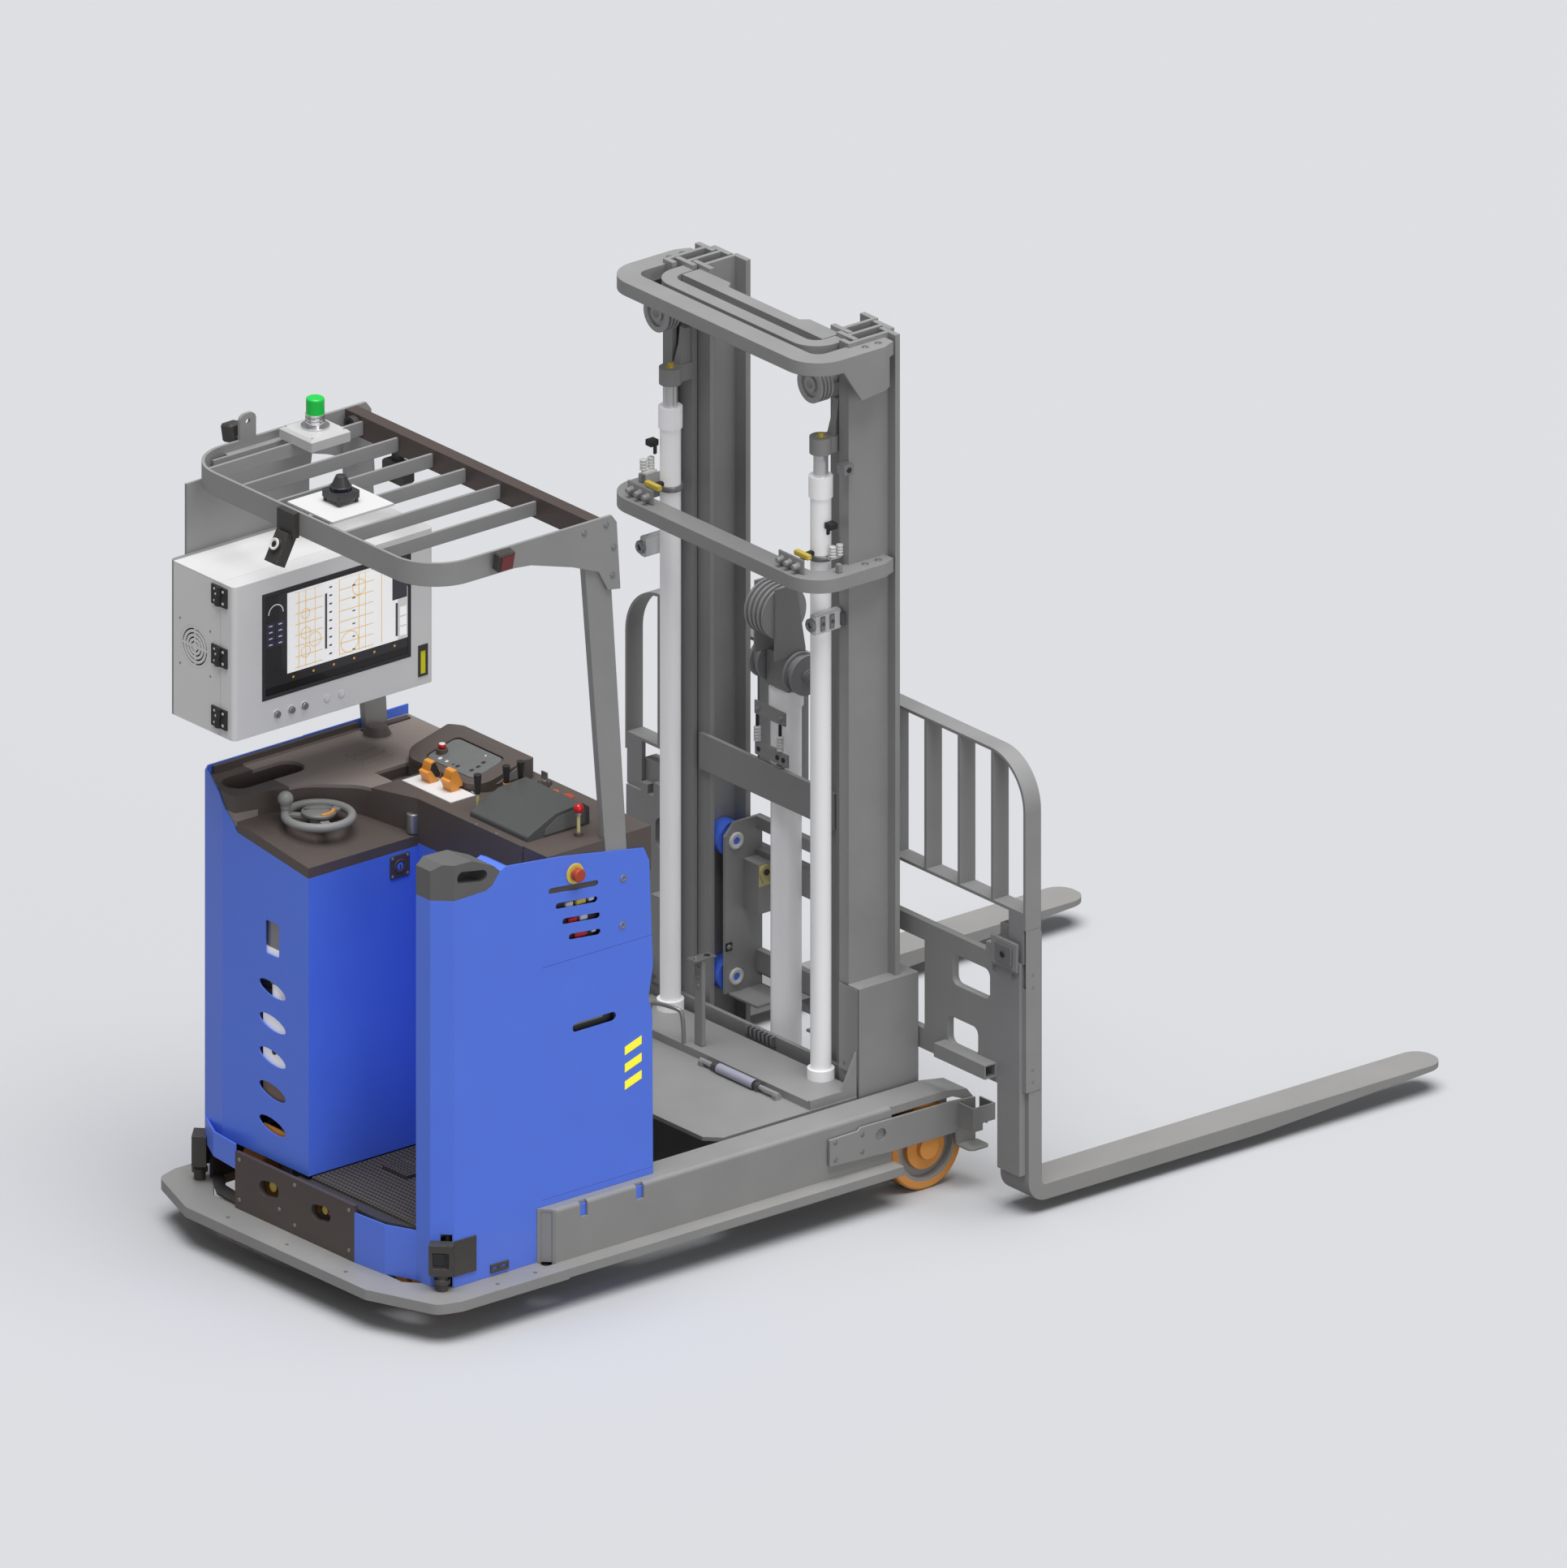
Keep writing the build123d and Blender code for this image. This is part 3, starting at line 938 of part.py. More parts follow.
keep("caster_fork", caster_fork())
keep("caster_wheels", caster_wheels())


# Mast: every stage is a pair of rolled rails seen in plan as a web with two flanges
def rail(web, x, rear_flange, front_flange, z):
    """One left rail; the flanges are given as ranges of |Y|."""
    return welded(block(x, (web, web + RAIL_WALL), z),
                  block((x[0], x[0] + RAIL_FLANGE), rear_flange, z),
                  block((x[1] - RAIL_FLANGE, x[1]), front_flange, z))


def loop(rear, half, bar, front, radius, z, web=None):
    """A flat U seen in plan: a rear bar with rounded corners and an arm to each rail."""
    outer = make_face(Polyline((rear, -half), (rear, half), (front, half), (front, -half), close=True))
    outer = fillet(outer.vertices().group_by(Axis.X)[0], radius)
    inner = make_face(Polyline((rear + bar, bar - half), (rear + bar, half - bar), (front + 1, half - bar),
                               (front + 1, bar - half), close=True))
    inner = fillet(inner.vertices().group_by(Axis.X)[0], max(radius - bar, 20))
    ring = extrude(Pos(0, 0, z[0]) * (outer - inner), z[1] - z[0])
    return ring - block((web[0], front + 2), (-web[1], web[1]), z) if web else ring


def outer_mast():
    web_out = OUTER_WEB + RAIL_WALL
    stage = rail(OUTER_WEB, OUTER_X, (OUTER_WEB - 28, web_out), (OUTER_WEB - 28, web_out + 31),
                 (MAST_FOOT_Z, MAST_TOP_Z))
    loops = [loop(LOOP_REAR_X, LOOP_HALF, LOOP_BAR, LOOP_FRONT_X, LOOP_R, (top - LOOP_THICK, top),
                  (OUTER_X[0], web_out - 1))
             for top in (LOOP_TOP_Z, LOOP_LOW_Z)]
    under = LOOP_TOP_Z - LOOP_THICK
    gusset = side_view([(1600, under), (LOOP_FRONT_X, under), (LOOP_FRONT_X, under - 83), (1662, under - 97)],
                       (LOOP_HALF - 10, LOOP_HALF))
    nose_cut = plan_view([(LOOP_FRONT_X - 45, LOOP_HALF + 1), (LOOP_FRONT_X + 1, LOOP_HALF + 1),
                          (LOOP_FRONT_X + 1, LOOP_HALF - 18)], (LOOP_LOW_Z - 91, MAST_TOP_Z + 70))
    return welded(both(stage), loops, both(gusset)) - both(nose_cut)


keep("outer_mast", outer_mast())


def middle_mast():
    flange = (MIDDLE_WEB - 30, MIDDLE_WEB + 45)
    low = MAST_FOOT_Z + GAP
    stage = rail(MIDDLE_WEB, MIDDLE_X, flange, flange, (low, MAST_TOP_Z))
    top = loop(INNER_LOOP_REAR_X, MIDDLE_WEB + 10, INNER_LOOP_BAR, MIDDLE_X[0], INNER_LOOP_R,
               (LOOP_TOP_Z - LOOP_THICK, LOOP_TOP_Z))
    tie = block((MIDDLE_X[0] - 13, MIDDLE_X[0]), (-MIDDLE_WEB - 15, MIDDLE_WEB + 15), (220, 320))
    pads = mirrored((MIDDLE_X[0], MIDDLE_X[0] + RAIL_FLANGE), (flange[1], OUTER_WEB - GAP), (300, 420))
    pin = along_x(10, (HOSE_SHEAVE_X[0] - 3, MIDDLE_X[0]), HOSE_SHEAVE_Y, HOSE_SHEAVE_Z)
    washer = along_x(16, (HOSE_SHEAVE_X[1] + 0.5, MIDDLE_X[0]), HOSE_SHEAVE_Y, HOSE_SHEAVE_Z)
    return welded(both(stage), top, tie, pads, both(pin), both(washer))


keep("middle_mast", middle_mast())


def inner_mast():
    low = MAST_FOOT_Z + 2 * GAP
    stage = rail(INNER_WEB, INNER_X, (INNER_WEB - 32, INNER_WEB + 44), (INNER_WEB - 46, INNER_WEB + RAIL_WALL),
                 (low, MAST_TOP_Z))
    half = INNER_WEB + 10
    tie = plan_view([(TIE_X[0], -half), (TIE_X[0], half), (INNER_X[0], half), (INNER_X[0], 168), (TIE_X[1], 150),
                     (TIE_X[1], -150), (INNER_X[0], -168), (INNER_X[0], -half)],
                    (LOOP_TOP_Z - LOOP_THICK, LOOP_TOP_Z))
    beam = block((INNER_X[0] - 12, INNER_X[0]), (1 - INNER_WEB, INNER_WEB - 1), CROSSBEAM_Z)
    base = block((INNER_X[0] + 2, INNER_X[1] - 1), (-INNER_WEB, INNER_WEB), (low, 160))
    pads = mirrored((INNER_X[0], INNER_X[0] + RAIL_FLANGE), (INNER_WEB + 44, MIDDLE_WEB - GAP), (300, 420))
    return welded(both(stage), tie, beam, base, pads)


keep("inner_mast", inner_mast())


# Reach base: the plate the mast stands on, the deck behind it and the slides on the legs' ledges
def reach_base():
    foot = block((1600, 1880), (-BASE_HALF, BASE_HALF), BASE_Z)
    deck = block((DECK_REAR_X, 1650), (-BASE_HALF, BASE_HALF), (LEG_TOP_Z - 12, LEG_TOP_Z))
    deck = chamfer(deck.edges().filter_by(Axis.Z).group_by(Axis.X)[0], 40)
    sill = block((DECK_EDGE_X, 1650), (2 - BASE_HALF, BASE_HALF - 2), (LEG_TOP_Z, LEG_TOP_Z + 23))
    riser = block((1600, 1612), (-BASE_HALF, BASE_HALF), (BASE_Z[1], LEG_TOP_Z - 12))
    cheeks = mirrored((1150, 1880), (BASE_HALF - 12, BASE_HALF), (205, 250))
    cheeks += mirrored((1190, 1600), (BASE_HALF - 12, BASE_HALF), (250, LEG_TOP_Z - 12))
    cheeks += mirrored((1600, 1880), (BASE_HALF - 12, BASE_HALF), (BASE_Z[1], 205))
    gusset = side_view([(DECK_EDGE_X, LEG_TOP_Z), (DECK_EDGE_X, 300), (1600, 300), (1650, 400), (1650, LEG_TOP_Z)],
                       (BASE_HALF - 10, BASE_HALF - 2))
    pads = [piece for x in ((1160, 1205), (1600, LEG_POCKET_X - 5))
            for piece in mirrored(x, (BASE_HALF, LEG_INNER - GAP), (LEDGE_Z[1] + GAP, 250))]
    web_out = OUTER_WEB + RAIL_WALL
    box_x, low, top = (OUTER_X[0] - 3, OUTER_X[1] + 50), BASE_Z[1], FOOT_BOX_TOP_Z
    box = welded(block(box_x, (web_out, BASE_HALF), (low, top)),
                 block((MIDDLE_X[1] + 1, box_x[1]), (MIDDLE_WEB + 8, BASE_HALF), (low, top)))
    box -= block((OUTER_X[1] - RAIL_FLANGE, OUTER_X[1]), (web_out - 1, web_out + 31), (low - 1, top + 1))
    box -= block((box_x[0] + 6, OUTER_X[1] - RAIL_FLANGE - 6), (web_out + 6, BASE_HALF - 6), (low - 1, top - 6))
    return welded(foot, deck, sill, riser, cheeks, both(gusset), pads, both(box))


def reach_cylinder():
    x, z = 1470, LEG_TOP_Z + 14
    pipe = along_y(7, x, (-330, 0), z)
    tube = along_y(14, x, (-232, -74), z)
    ends = [along_y(11, x, (y, y + 16), z) for y in (-252, -70)]
    feet = [block((x - 10, x + 10), (y, y + 16), (LEG_TOP_Z, z)) for y in (-330, -252, -70, -16)]
    return welded(pipe, tube, ends, feet)


keep("reach_base", reach_base(), reach_cylinder())


# Lift cylinders behind the rails and their rods on the middle stage
def lift_cylinder():
    x, y = LIFT_AT
    low = LEG_TOP_Z + 23
    tube = welded(along_z(LIFT_TUBE_R, x, y, (low, LIFT_TUBE_TOP_Z)),
                  along_z(LIFT_COLLAR_R, x, y, (LIFT_TUBE_TOP_Z - 60, LIFT_TUBE_TOP_Z)),
                  along_z(LIFT_COLLAR_R + 4, x, y, (low, low + 30)))
    return tube - along_z(LIFT_ROD_R + RUN, x, y, (low + 14, LIFT_TUBE_TOP_Z + 1))


def lift_rod():
    x, y = LIFT_AT
    rod = along_z(LIFT_ROD_R, x, y, (LEG_TOP_Z + 50, LIFT_TUBE_TOP_Z + 70))
    cap = along_z(31, x, y, (LIFT_TUBE_TOP_Z + 66, LIFT_TUBE_TOP_Z + 113))
    bolt = along_z(9, x, y, (LIFT_TUBE_TOP_Z + 112, LIFT_TUBE_TOP_Z + 122))
    arm = block((x, MIDDLE_X[0]), (MIDDLE_WEB - 30, MIDDLE_WEB + 10), (LIFT_TUBE_TOP_Z + 66, LIFT_TUBE_TOP_Z + 113))
    strut = side_view([(1650, LIFT_TUBE_TOP_Z + 110), (MIDDLE_X[0], LIFT_TUBE_TOP_Z + 110), (MIDDLE_X[0], 2250),
                       (1672, 2250), (1666, 2200)], (MIDDLE_WEB - 22, MIDDLE_WEB + 2))
    return welded(rod, cap, bolt, arm, strut)


keep("lift_cylinders", both(lift_cylinder()))
keep("lift_rods", both(lift_rod()))


def hose_sheave(y):
    (rear, front), z, outer = HOSE_SHEAVE_X, HOSE_SHEAVE_Z, HOSE_SHEAVE_R
    wheel = along_x(outer, (rear, front), y, z)
    grooves = [along_x(outer + 1, (x, x + 8), y, z) - along_x(outer - 9, (x, x + 8), y, z)
               for x in (rear + 5, rear + 17, rear + 29)]
    dish = along_x(36, (rear - 1, rear + 6), y, z) - along_x(22, (rear - 1, rear + 6), y, z)
    return wheel - grooves - dish - along_x(10 + RUN, (rear - 1, front + 1), y, z)


keep("hose_sheave_right", hose_sheave(-HOSE_SHEAVE_Y))
keep("hose_sheave_left", hose_sheave(HOSE_SHEAVE_Y))


# Free-lift cylinder on the inner stage and the crosshead it pushes
def free_lift_cylinder():
    tube = welded(along_z(FREE_TUBE_R, FREE_X, 0, (160, FREE_TUBE_TOP_Z)),
                  along_z(FREE_TUBE_R + 5, FREE_X, 0, (FREE_TUBE_TOP_Z - 50, FREE_TUBE_TOP_Z)),
                  along_z(FREE_TUBE_R + 8, FREE_X, 0, (160, 190)))
    return tube - along_z(FREE_ROD_R + RUN, FREE_X, 0, (200, FREE_TUBE_TOP_Z + 1))


keep("free_lift_cylinder", free_lift_cylinder())


def crosshead():
    rod = along_z(FREE_ROD_R, FREE_X, 0, (210, FREE_TUBE_TOP_Z + 4))
    yoke = block((FREE_X - 30, FREE_X + 30), (-46, 46), (FREE_TUBE_TOP_Z + 3, FREE_TUBE_TOP_Z + 105))
    axle = along_y(PULLEY_PIN_R, FREE_X, (-PULLEY_Y - 28, PULLEY_Y + 28), PULLEY_Z)
    caps = [along_y(18, FREE_X, y, PULLEY_Z)
            for y in ((-PULLEY_Y - 26, -PULLEY_Y - 20.5), (PULLEY_Y + 20.5, PULLEY_Y + 26))]
    hubs = [along_y(18, FREE_X, y, PULLEY_Z) for y in ((20.5 - PULLEY_Y, -45), (45, PULLEY_Y - 20.5))]
    plate = side_view([(SHEAVE_X - 37, 1395), (FREE_X + 30, 1395), (FREE_X + 30, 1410), (SHEAVE_X + 35, 1602),
                       (SHEAVE_X - 35, 1602)], (40, 46))
    pin = along_y(SHEAVE_PIN_R, SHEAVE_X, (-46, 46), SHEAVE_Z)
    return welded(rod, yoke, axle, caps, hubs, both(plate), pin)


keep("crosshead", crosshead())


def pulley(middle):
    low, high, groove_y = middle - 20, middle + 20, (middle - 11, middle + 11)
    groove = along_y(PULLEY_R + 1, FREE_X, groove_y, PULLEY_Z) - along_y(PULLEY_R - 9, FREE_X, groove_y, PULLEY_Z)
    return along_y(PULLEY_R, FREE_X, (low, high), PULLEY_Z) - groove - along_y(
        PULLEY_PIN_R + RUN, FREE_X, (low - 1, high + 1), PULLEY_Z)


keep("chain_pulleys", pulley(-PULLEY_Y), pulley(PULLEY_Y))


def crosshead_sheave():
    x, z = SHEAVE_X, SHEAVE_Z
    grooves = [along_y(SHEAVE_R + 1, x, (y, y + 11), z) - along_y(SHEAVE_R - 10, x, (y, y + 11), z)
               for y in (-33, -14.5, 3.5, 22)]
    return along_y(SHEAVE_R, x, (-39, 39), z) - grooves - along_y(SHEAVE_PIN_R + RUN, x, (-40, 40), z)


keep("crosshead_sheave", crosshead_sheave())


# Carriage: side plates with rollers in the inner rails, cross bars and a low shelf
def carriage():
    plate_y, (low, top) = (INNER_WEB - 63, INNER_WEB - 53), CARRIAGE_Z
    back, inside = FRAME_X[0] - GAP, INNER_WEB - 62
    middle = (INNER_X[0] + INNER_X[1]) / 2
    plate = side_view([(1738, low), (back, low), (back, top), (1770, top), (1738, top - 35)], plate_y)
    roller_r = (INNER_X[1] - INNER_X[0]) / 2 - RAIL_FLANGE - 0.1
    rollers = [welded(along_y(roller_r, middle, (plate_y[1] + 7, INNER_WEB - 3), z),
                      along_y(16, middle, (plate_y[1] - 1, plate_y[1] + 8), z)) for z in CARRIAGE_ROLLERS_Z]
    bars = [block((back - 21, back), (-inside, inside), z) for z in ((378, 440), (655, FRAME_BAR_Z[1]), (790, top))]
    boxes = mirrored((1800, back), (inside - 66, inside), (571, 714))
    face_y = (inside - 71, inside - 65)
    flange = welded(along_y(19.5, 1822, face_y, 691), along_y(9.5, 1822, face_y, 664),
                    side_view([(1803, 688), (1813, 662), (1831, 662), (1841, 688)], face_y),
                    along_y(9, 1822, (face_y[0] - 5, face_y[1]), 691))
    tube_room = FREE_TUBE_R + 62
    shelf = plan_view([(1750, inside), (back, inside), (back, -inside), (1750, -inside), (1750, -tube_room),
                       (1834, -tube_room), (1834, tube_room), (1750, tube_room)], (low - 6, low + 1))
    return welded(both(plate), both(welded(rollers)), bars, boxes, both(flange), shelf)


keep("carriage", carriage())


# Side shift frame in front of the carriage
def fork_frame():
    low, high = FRAME_BAR_Z

    def side(sign):
        plate = block(FRAME_X, sorted((sign * FRAME_INNER, sign * FRAME_HALF)), (FRAME_LOW_Z, high))
        cuts = [side_cut(sign * 630, 159, (589, 677)), side_cut(sign * 594, 130, (409, 493))]
        tube = block((FRAME_X[0] - 40, FRAME_X[0]), sorted((sign * 520, sign * 736)), (378, 418))
        tube -= block((FRAME_X[0] - 36, FRAME_X[0] - 4), sorted((sign * 519, sign * 737)), (382, 414))
        return welded(plate, tube) - cuts

    def side_cut(middle, width, z):
        cut = block((FRAME_X[0] - 1, FRAME_X[1] + 1), (middle - width / 2, middle + width / 2), z)
        return fillet(cut.edges().filter_by(Axis.X), 22)
    bar = block(FRAME_X, (-FRAME_HALF, FRAME_HALF), (low, high))
    low_bar = block(FRAME_X, (-FRAME_INNER - 1, FRAME_INNER + 1), (FRAME_LOW_Z, FRAME_LOW_Z + 60))
    guards = [block(FRAME_X, (fork - SHIFT_Y - 47, fork - SHIFT_Y + 47), (118, FRAME_LOW_Z + 1))
              for fork in (FORK_RIGHT_Y, FORK_LEFT_Y)]
    latches = [block(FRAME_X, (y, y + 30), (high - 1, high + 26)) for y in LATCHES_Y]
    return Pos(0, SHIFT_Y, 0) * welded(bar, low_bar, side(1), side(-1), guards, latches)


keep("fork_frame", fork_frame())


# Forks: bent bars with a tapered, rounded blade
def fork():
    back, front, tip = FORK_FACE_X - FORK_THICK, FORK_FACE_X, FORK_FACE_X + FORK_LENGTH
    top = FORK_BOTTOM_Z + FORK_THICK
    outline = [(back, FORK_BOTTOM_Z), (FORK_TAPER_X, FORK_BOTTOM_Z), (tip, top - FORK_TIP_THICK), (tip, top),
               (front, top), (front, FORK_TOP_Z), (back, FORK_TOP_Z)]
    bar = side_view(outline, (-FORK_WIDTH / 2, FORK_WIDTH / 2))
    heel = bar.edges().filter_by(Axis.Y).filter_by_position(Axis.X, back - 1, back + 1).sort_by(Axis.Z)[0]
    bar = fillet(heel, FORK_HEEL_R)
    corner = bar.edges().filter_by(Axis.Y).filter_by_position(Axis.X, front - 1, front + 1).sort_by(Axis.Z)[0]
    bar = fillet(corner, 14)
    tips = bar.edges().filter_by(Axis.Z).filter_by_position(Axis.X, tip - 1, tip + 1)
    bar = fillet(tips, FORK_WIDTH / 2 - 6)
    hook = block((FRAME_X[0], back + 1), (10, 46), (FRAME_BAR_Z[1], FRAME_BAR_Z[1] + 40))
    return welded(bar, hook)


keep("forks", Pos(0, FORK_RIGHT_Y, 0) * fork(), Pos(0, FORK_LEFT_Y, 0) * mirror(fork(), Plane.XZ))


# Load backrest: a flat band bent round the top, a low bar and vertical bars
def load_backrest():
    front, back = FORK_FACE_X - 4, FORK_FACE_X - 4 - BACKREST_DEEP

    def arch(half, top, radius, low):
        face = make_face(Polyline((-half, low), (-half, top), (half, top), (half, low), close=True))
        face = fillet(face.vertices().group_by(Axis.Y)[-1], radius)
        return extrude(Plane((back, 0, 0), x_dir=(0, 1, 0), z_dir=(1, 0, 0)) * face, front - back)
    band = arch(BACKREST_HALF, BACKREST_TOP_Z, BACKREST_R, BACKREST_FOOT_Z)
    band -= arch(BACKREST_HALF - BACKREST_BAR, BACKREST_TOP_Z - BACKREST_BAR, BACKREST_R - BACKREST_BAR,
                 BACKREST_FOOT_Z - 1)
    inner = BACKREST_HALF - BACKREST_BAR + 1
    low_bar = block((back, front), (-inner, inner), (BACKREST_LOW_Z - BACKREST_BAR, BACKREST_LOW_Z))
    count = int(inner // BACKREST_PITCH)
    bars = [block((back, front), (i * BACKREST_PITCH - BACKREST_BAR / 2, i * BACKREST_PITCH + BACKREST_BAR / 2),
                  (BACKREST_LOW_Z - 1, BACKREST_TOP_Z - BACKREST_BAR + 1)) for i in range(-count, count + 1)]
    feet = mirrored((back, FRAME_X[1]), (BACKREST_HALF - BACKREST_BAR - 62, inner),
                    (FRAME_BAR_Z[1], BACKREST_LOW_Z - 1))
    return Pos(0, SHIFT_Y, 0) * welded(band, low_bar, bars, feet)


keep("load_backrest", load_backrest())

os.makedirs("parts", exist_ok=True)
for name, shape in kept.items():
    export_step(shape, f"parts/{name}.step")
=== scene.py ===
# %% [markdown]
# # A reach truck that drives itself, dressed for its portrait
# The CAD model gives every piece its size and place. This file gives the pieces their paint, rubber, glass
# and small fittings. All numbers that say where a thing is are millimetres: X from the rear edge of the
# bumper, Y to the truck's left and Z up from the floor, as a fitter would measure on the real truck.

# %% Load the CAD frame
import bpy, bmesh, functools, math, operator
from contextlib import contextmanager
from mathutils import Matrix, Vector


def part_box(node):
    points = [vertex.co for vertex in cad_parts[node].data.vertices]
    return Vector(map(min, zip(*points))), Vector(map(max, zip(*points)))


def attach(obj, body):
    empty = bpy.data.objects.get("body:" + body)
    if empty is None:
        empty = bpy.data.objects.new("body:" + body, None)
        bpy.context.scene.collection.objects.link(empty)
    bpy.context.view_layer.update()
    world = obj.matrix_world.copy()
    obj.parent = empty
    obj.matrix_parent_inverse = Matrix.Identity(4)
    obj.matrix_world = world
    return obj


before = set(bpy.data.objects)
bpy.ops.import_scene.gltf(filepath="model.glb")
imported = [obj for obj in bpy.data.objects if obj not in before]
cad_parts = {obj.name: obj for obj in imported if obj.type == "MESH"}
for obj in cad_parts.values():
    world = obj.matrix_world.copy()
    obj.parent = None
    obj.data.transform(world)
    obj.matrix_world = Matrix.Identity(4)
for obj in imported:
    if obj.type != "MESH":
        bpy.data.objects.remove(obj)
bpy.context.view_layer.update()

TRUCK_MIDDLE = 1666


def at(x, y, z):
    """A point measured from the bumper, as Blender's metres from the middle of the truck."""
    return Vector(((x - TRUCK_MIDDLE) / 1000, y / 1000, z / 1000))


def placed(name, data):
    """A new object in the scene, at its origin."""
    thing = bpy.data.objects.new(name, data)
    bpy.context.scene.collection.objects.link(thing)
    return thing


# %% [markdown]
# ## Arithmetic that a shader understands
# A finish changes over a surface: orange where the tyre is, dusty near the floor, shiny where it is rubbed.
# Such rules read more easily as sums than as a web of nodes. The class below lets Python write them: every
# plus, times or "greater than" on a Signal adds one Math node to the material.

# %% Signals and the finish maker
class Signal:
    """One number that varies over a surface."""

    def __init__(self, maker, socket):
        self.maker, self.socket = maker, socket

    def math(self, operation, other=0.0, swap=False):
        pair = {0: other, 1: self} if swap else {0: self, 1: other}
        return self.maker.node("ShaderNodeMath", {"operation": operation}, pair)

    def __abs__(self):
        return self.math("ABSOLUTE")


OPERATORS = {
    "add": "ADD", "sub": "SUBTRACT", "mul": "MULTIPLY", "truediv": "DIVIDE", "pow": "POWER",
    "mod": "FLOORED_MODULO", "gt": "GREATER_THAN", "lt": "LESS_THAN", "and": "MINIMUM", "or": "MAXIMUM"}
for sign, operation in OPERATORS.items():
    setattr(Signal, f"__{sign}__", functools.partialmethod(Signal.math, operation))
    setattr(Signal, f"__r{sign}__", functools.partialmethod(Signal.math, operation, swap=True))


class Maker:
    """Builds one material and keeps its node tree."""

    def __init__(self, name):
        self.material = bpy.data.materials.new(name)
        self.material.use_nodes = True
        self.tree = self.material.node_tree
        self.tree.nodes.clear()
        spot = self.node("ShaderNodeTexCoord", {}, {}, "Object")
        self.spot = spot.socket
        parts = [self.node("ShaderNodeSeparateXYZ", {}, {0: spot}, axis) * 1000 for axis in "XYZ"]
        self.x, self.y, self.z = parts[0] + TRUCK_MIDDLE, parts[1], parts[2]

    def node(self, kind, settings, sockets, result=0):
        """Any node: its settings first, then the values or links of its sockets."""
        made = self.tree.nodes.new(kind)
        for setting, value in settings.items():
            setattr(made, setting, value)
        for key, value in sockets.items():
            socket = made.inputs[key] if isinstance(key, int) else \
                next(one for one in made.inputs if one.identifier == key)
            if isinstance(value, Signal):
                self.tree.links.new(value.socket, socket)
            elif isinstance(value, bpy.types.NodeSocket):
                self.tree.links.new(value, socket)
            else:
                socket.default_value = value
        output = made.outputs[result] if isinstance(result, int) else \
            next(one for one in made.outputs if one.identifier == result)
        return Signal(self, output)

    def mix(self, share, first, second):
        """A colour between two colours."""
        return self.node("ShaderNodeMix", {"data_type": "RGBA"},
                         {"Factor_Float": share, "A_Color": first, "B_Color": second}, "Result_Color")

    def noise(self, scale, detail=2.0, stretch=None):
        """Soft random blotches; a stretch makes them long along an axis, like brushing."""
        spot = self.spot
        if stretch:
            spot = self.node("ShaderNodeMapping", {}, {"Vector": spot, "Scale": stretch}).socket
        return self.node("ShaderNodeTexNoise", {}, {"Vector": spot, "Scale": scale, "Detail": detail}, "Fac")

    def between(self, signal, low, high):
        return (signal > low) & (signal < high)

    def inside(self, x=None, y=None, z=None):
        """1 inside a box given by station sizes, else 0."""
        spans = ((self.x, x), (self.y, y), (self.z, z))
        return functools.reduce(operator.and_, [self.between(axis, *span) for axis, span in spans if span])

    def ring(self, first, second, centre):
        """Distance from an axis, so that a tyre or a lens can be told from what carries it."""
        return ((first - centre[0]) ** 2 + (second - centre[1]) ** 2) ** 0.5


def any_of(masks):
    """1 where at least one of the masks is 1."""
    return functools.reduce(operator.or_, masks)


def rgb(red, green=None, blue=None):
    """A colour from the 0 to 255 values a painter would match by eye; one value alone is a grey."""
    parts = [(red if value is None else value) / 255 for value in (red, green, blue)]
    linear = [part / 12.92 if part < 0.04045 else ((part + 0.055) / 1.055) ** 2.4 for part in parts]
    return (*linear, 1.0)


print("shader tools ready")

# %% [markdown]
# ## One recipe for every hard finish
# Paint, plastic and steel share their habits: they mottle a little, get dusty near the floor, are rubbed
# bright along their edges and have a fine texture that breaks up the highlight. One recipe makes them all
# from a few numbers. It finds edges with the Bevel node, which also softens hard CAD corners in the
# highlight.

# %% The finish recipe
GREY = rgb(152)
BLUE, WHITE, BROWN = rgb(90, 131, 255), rgb(230), rgb(92, 83, 79)
BLACK, ORANGE, YELLOW = rgb(44, 42, 41), rgb(240, 160, 66), rgb(232, 206, 88)
RED, STOP_RED, STEEL, CHROME = rgb(205, 14, 22), rgb(186, 68, 28), rgb(176, 178, 180), rgb(226, 226, 228)
BARE, DUST = rgb(172, 172, 170), rgb(150, 142, 130)


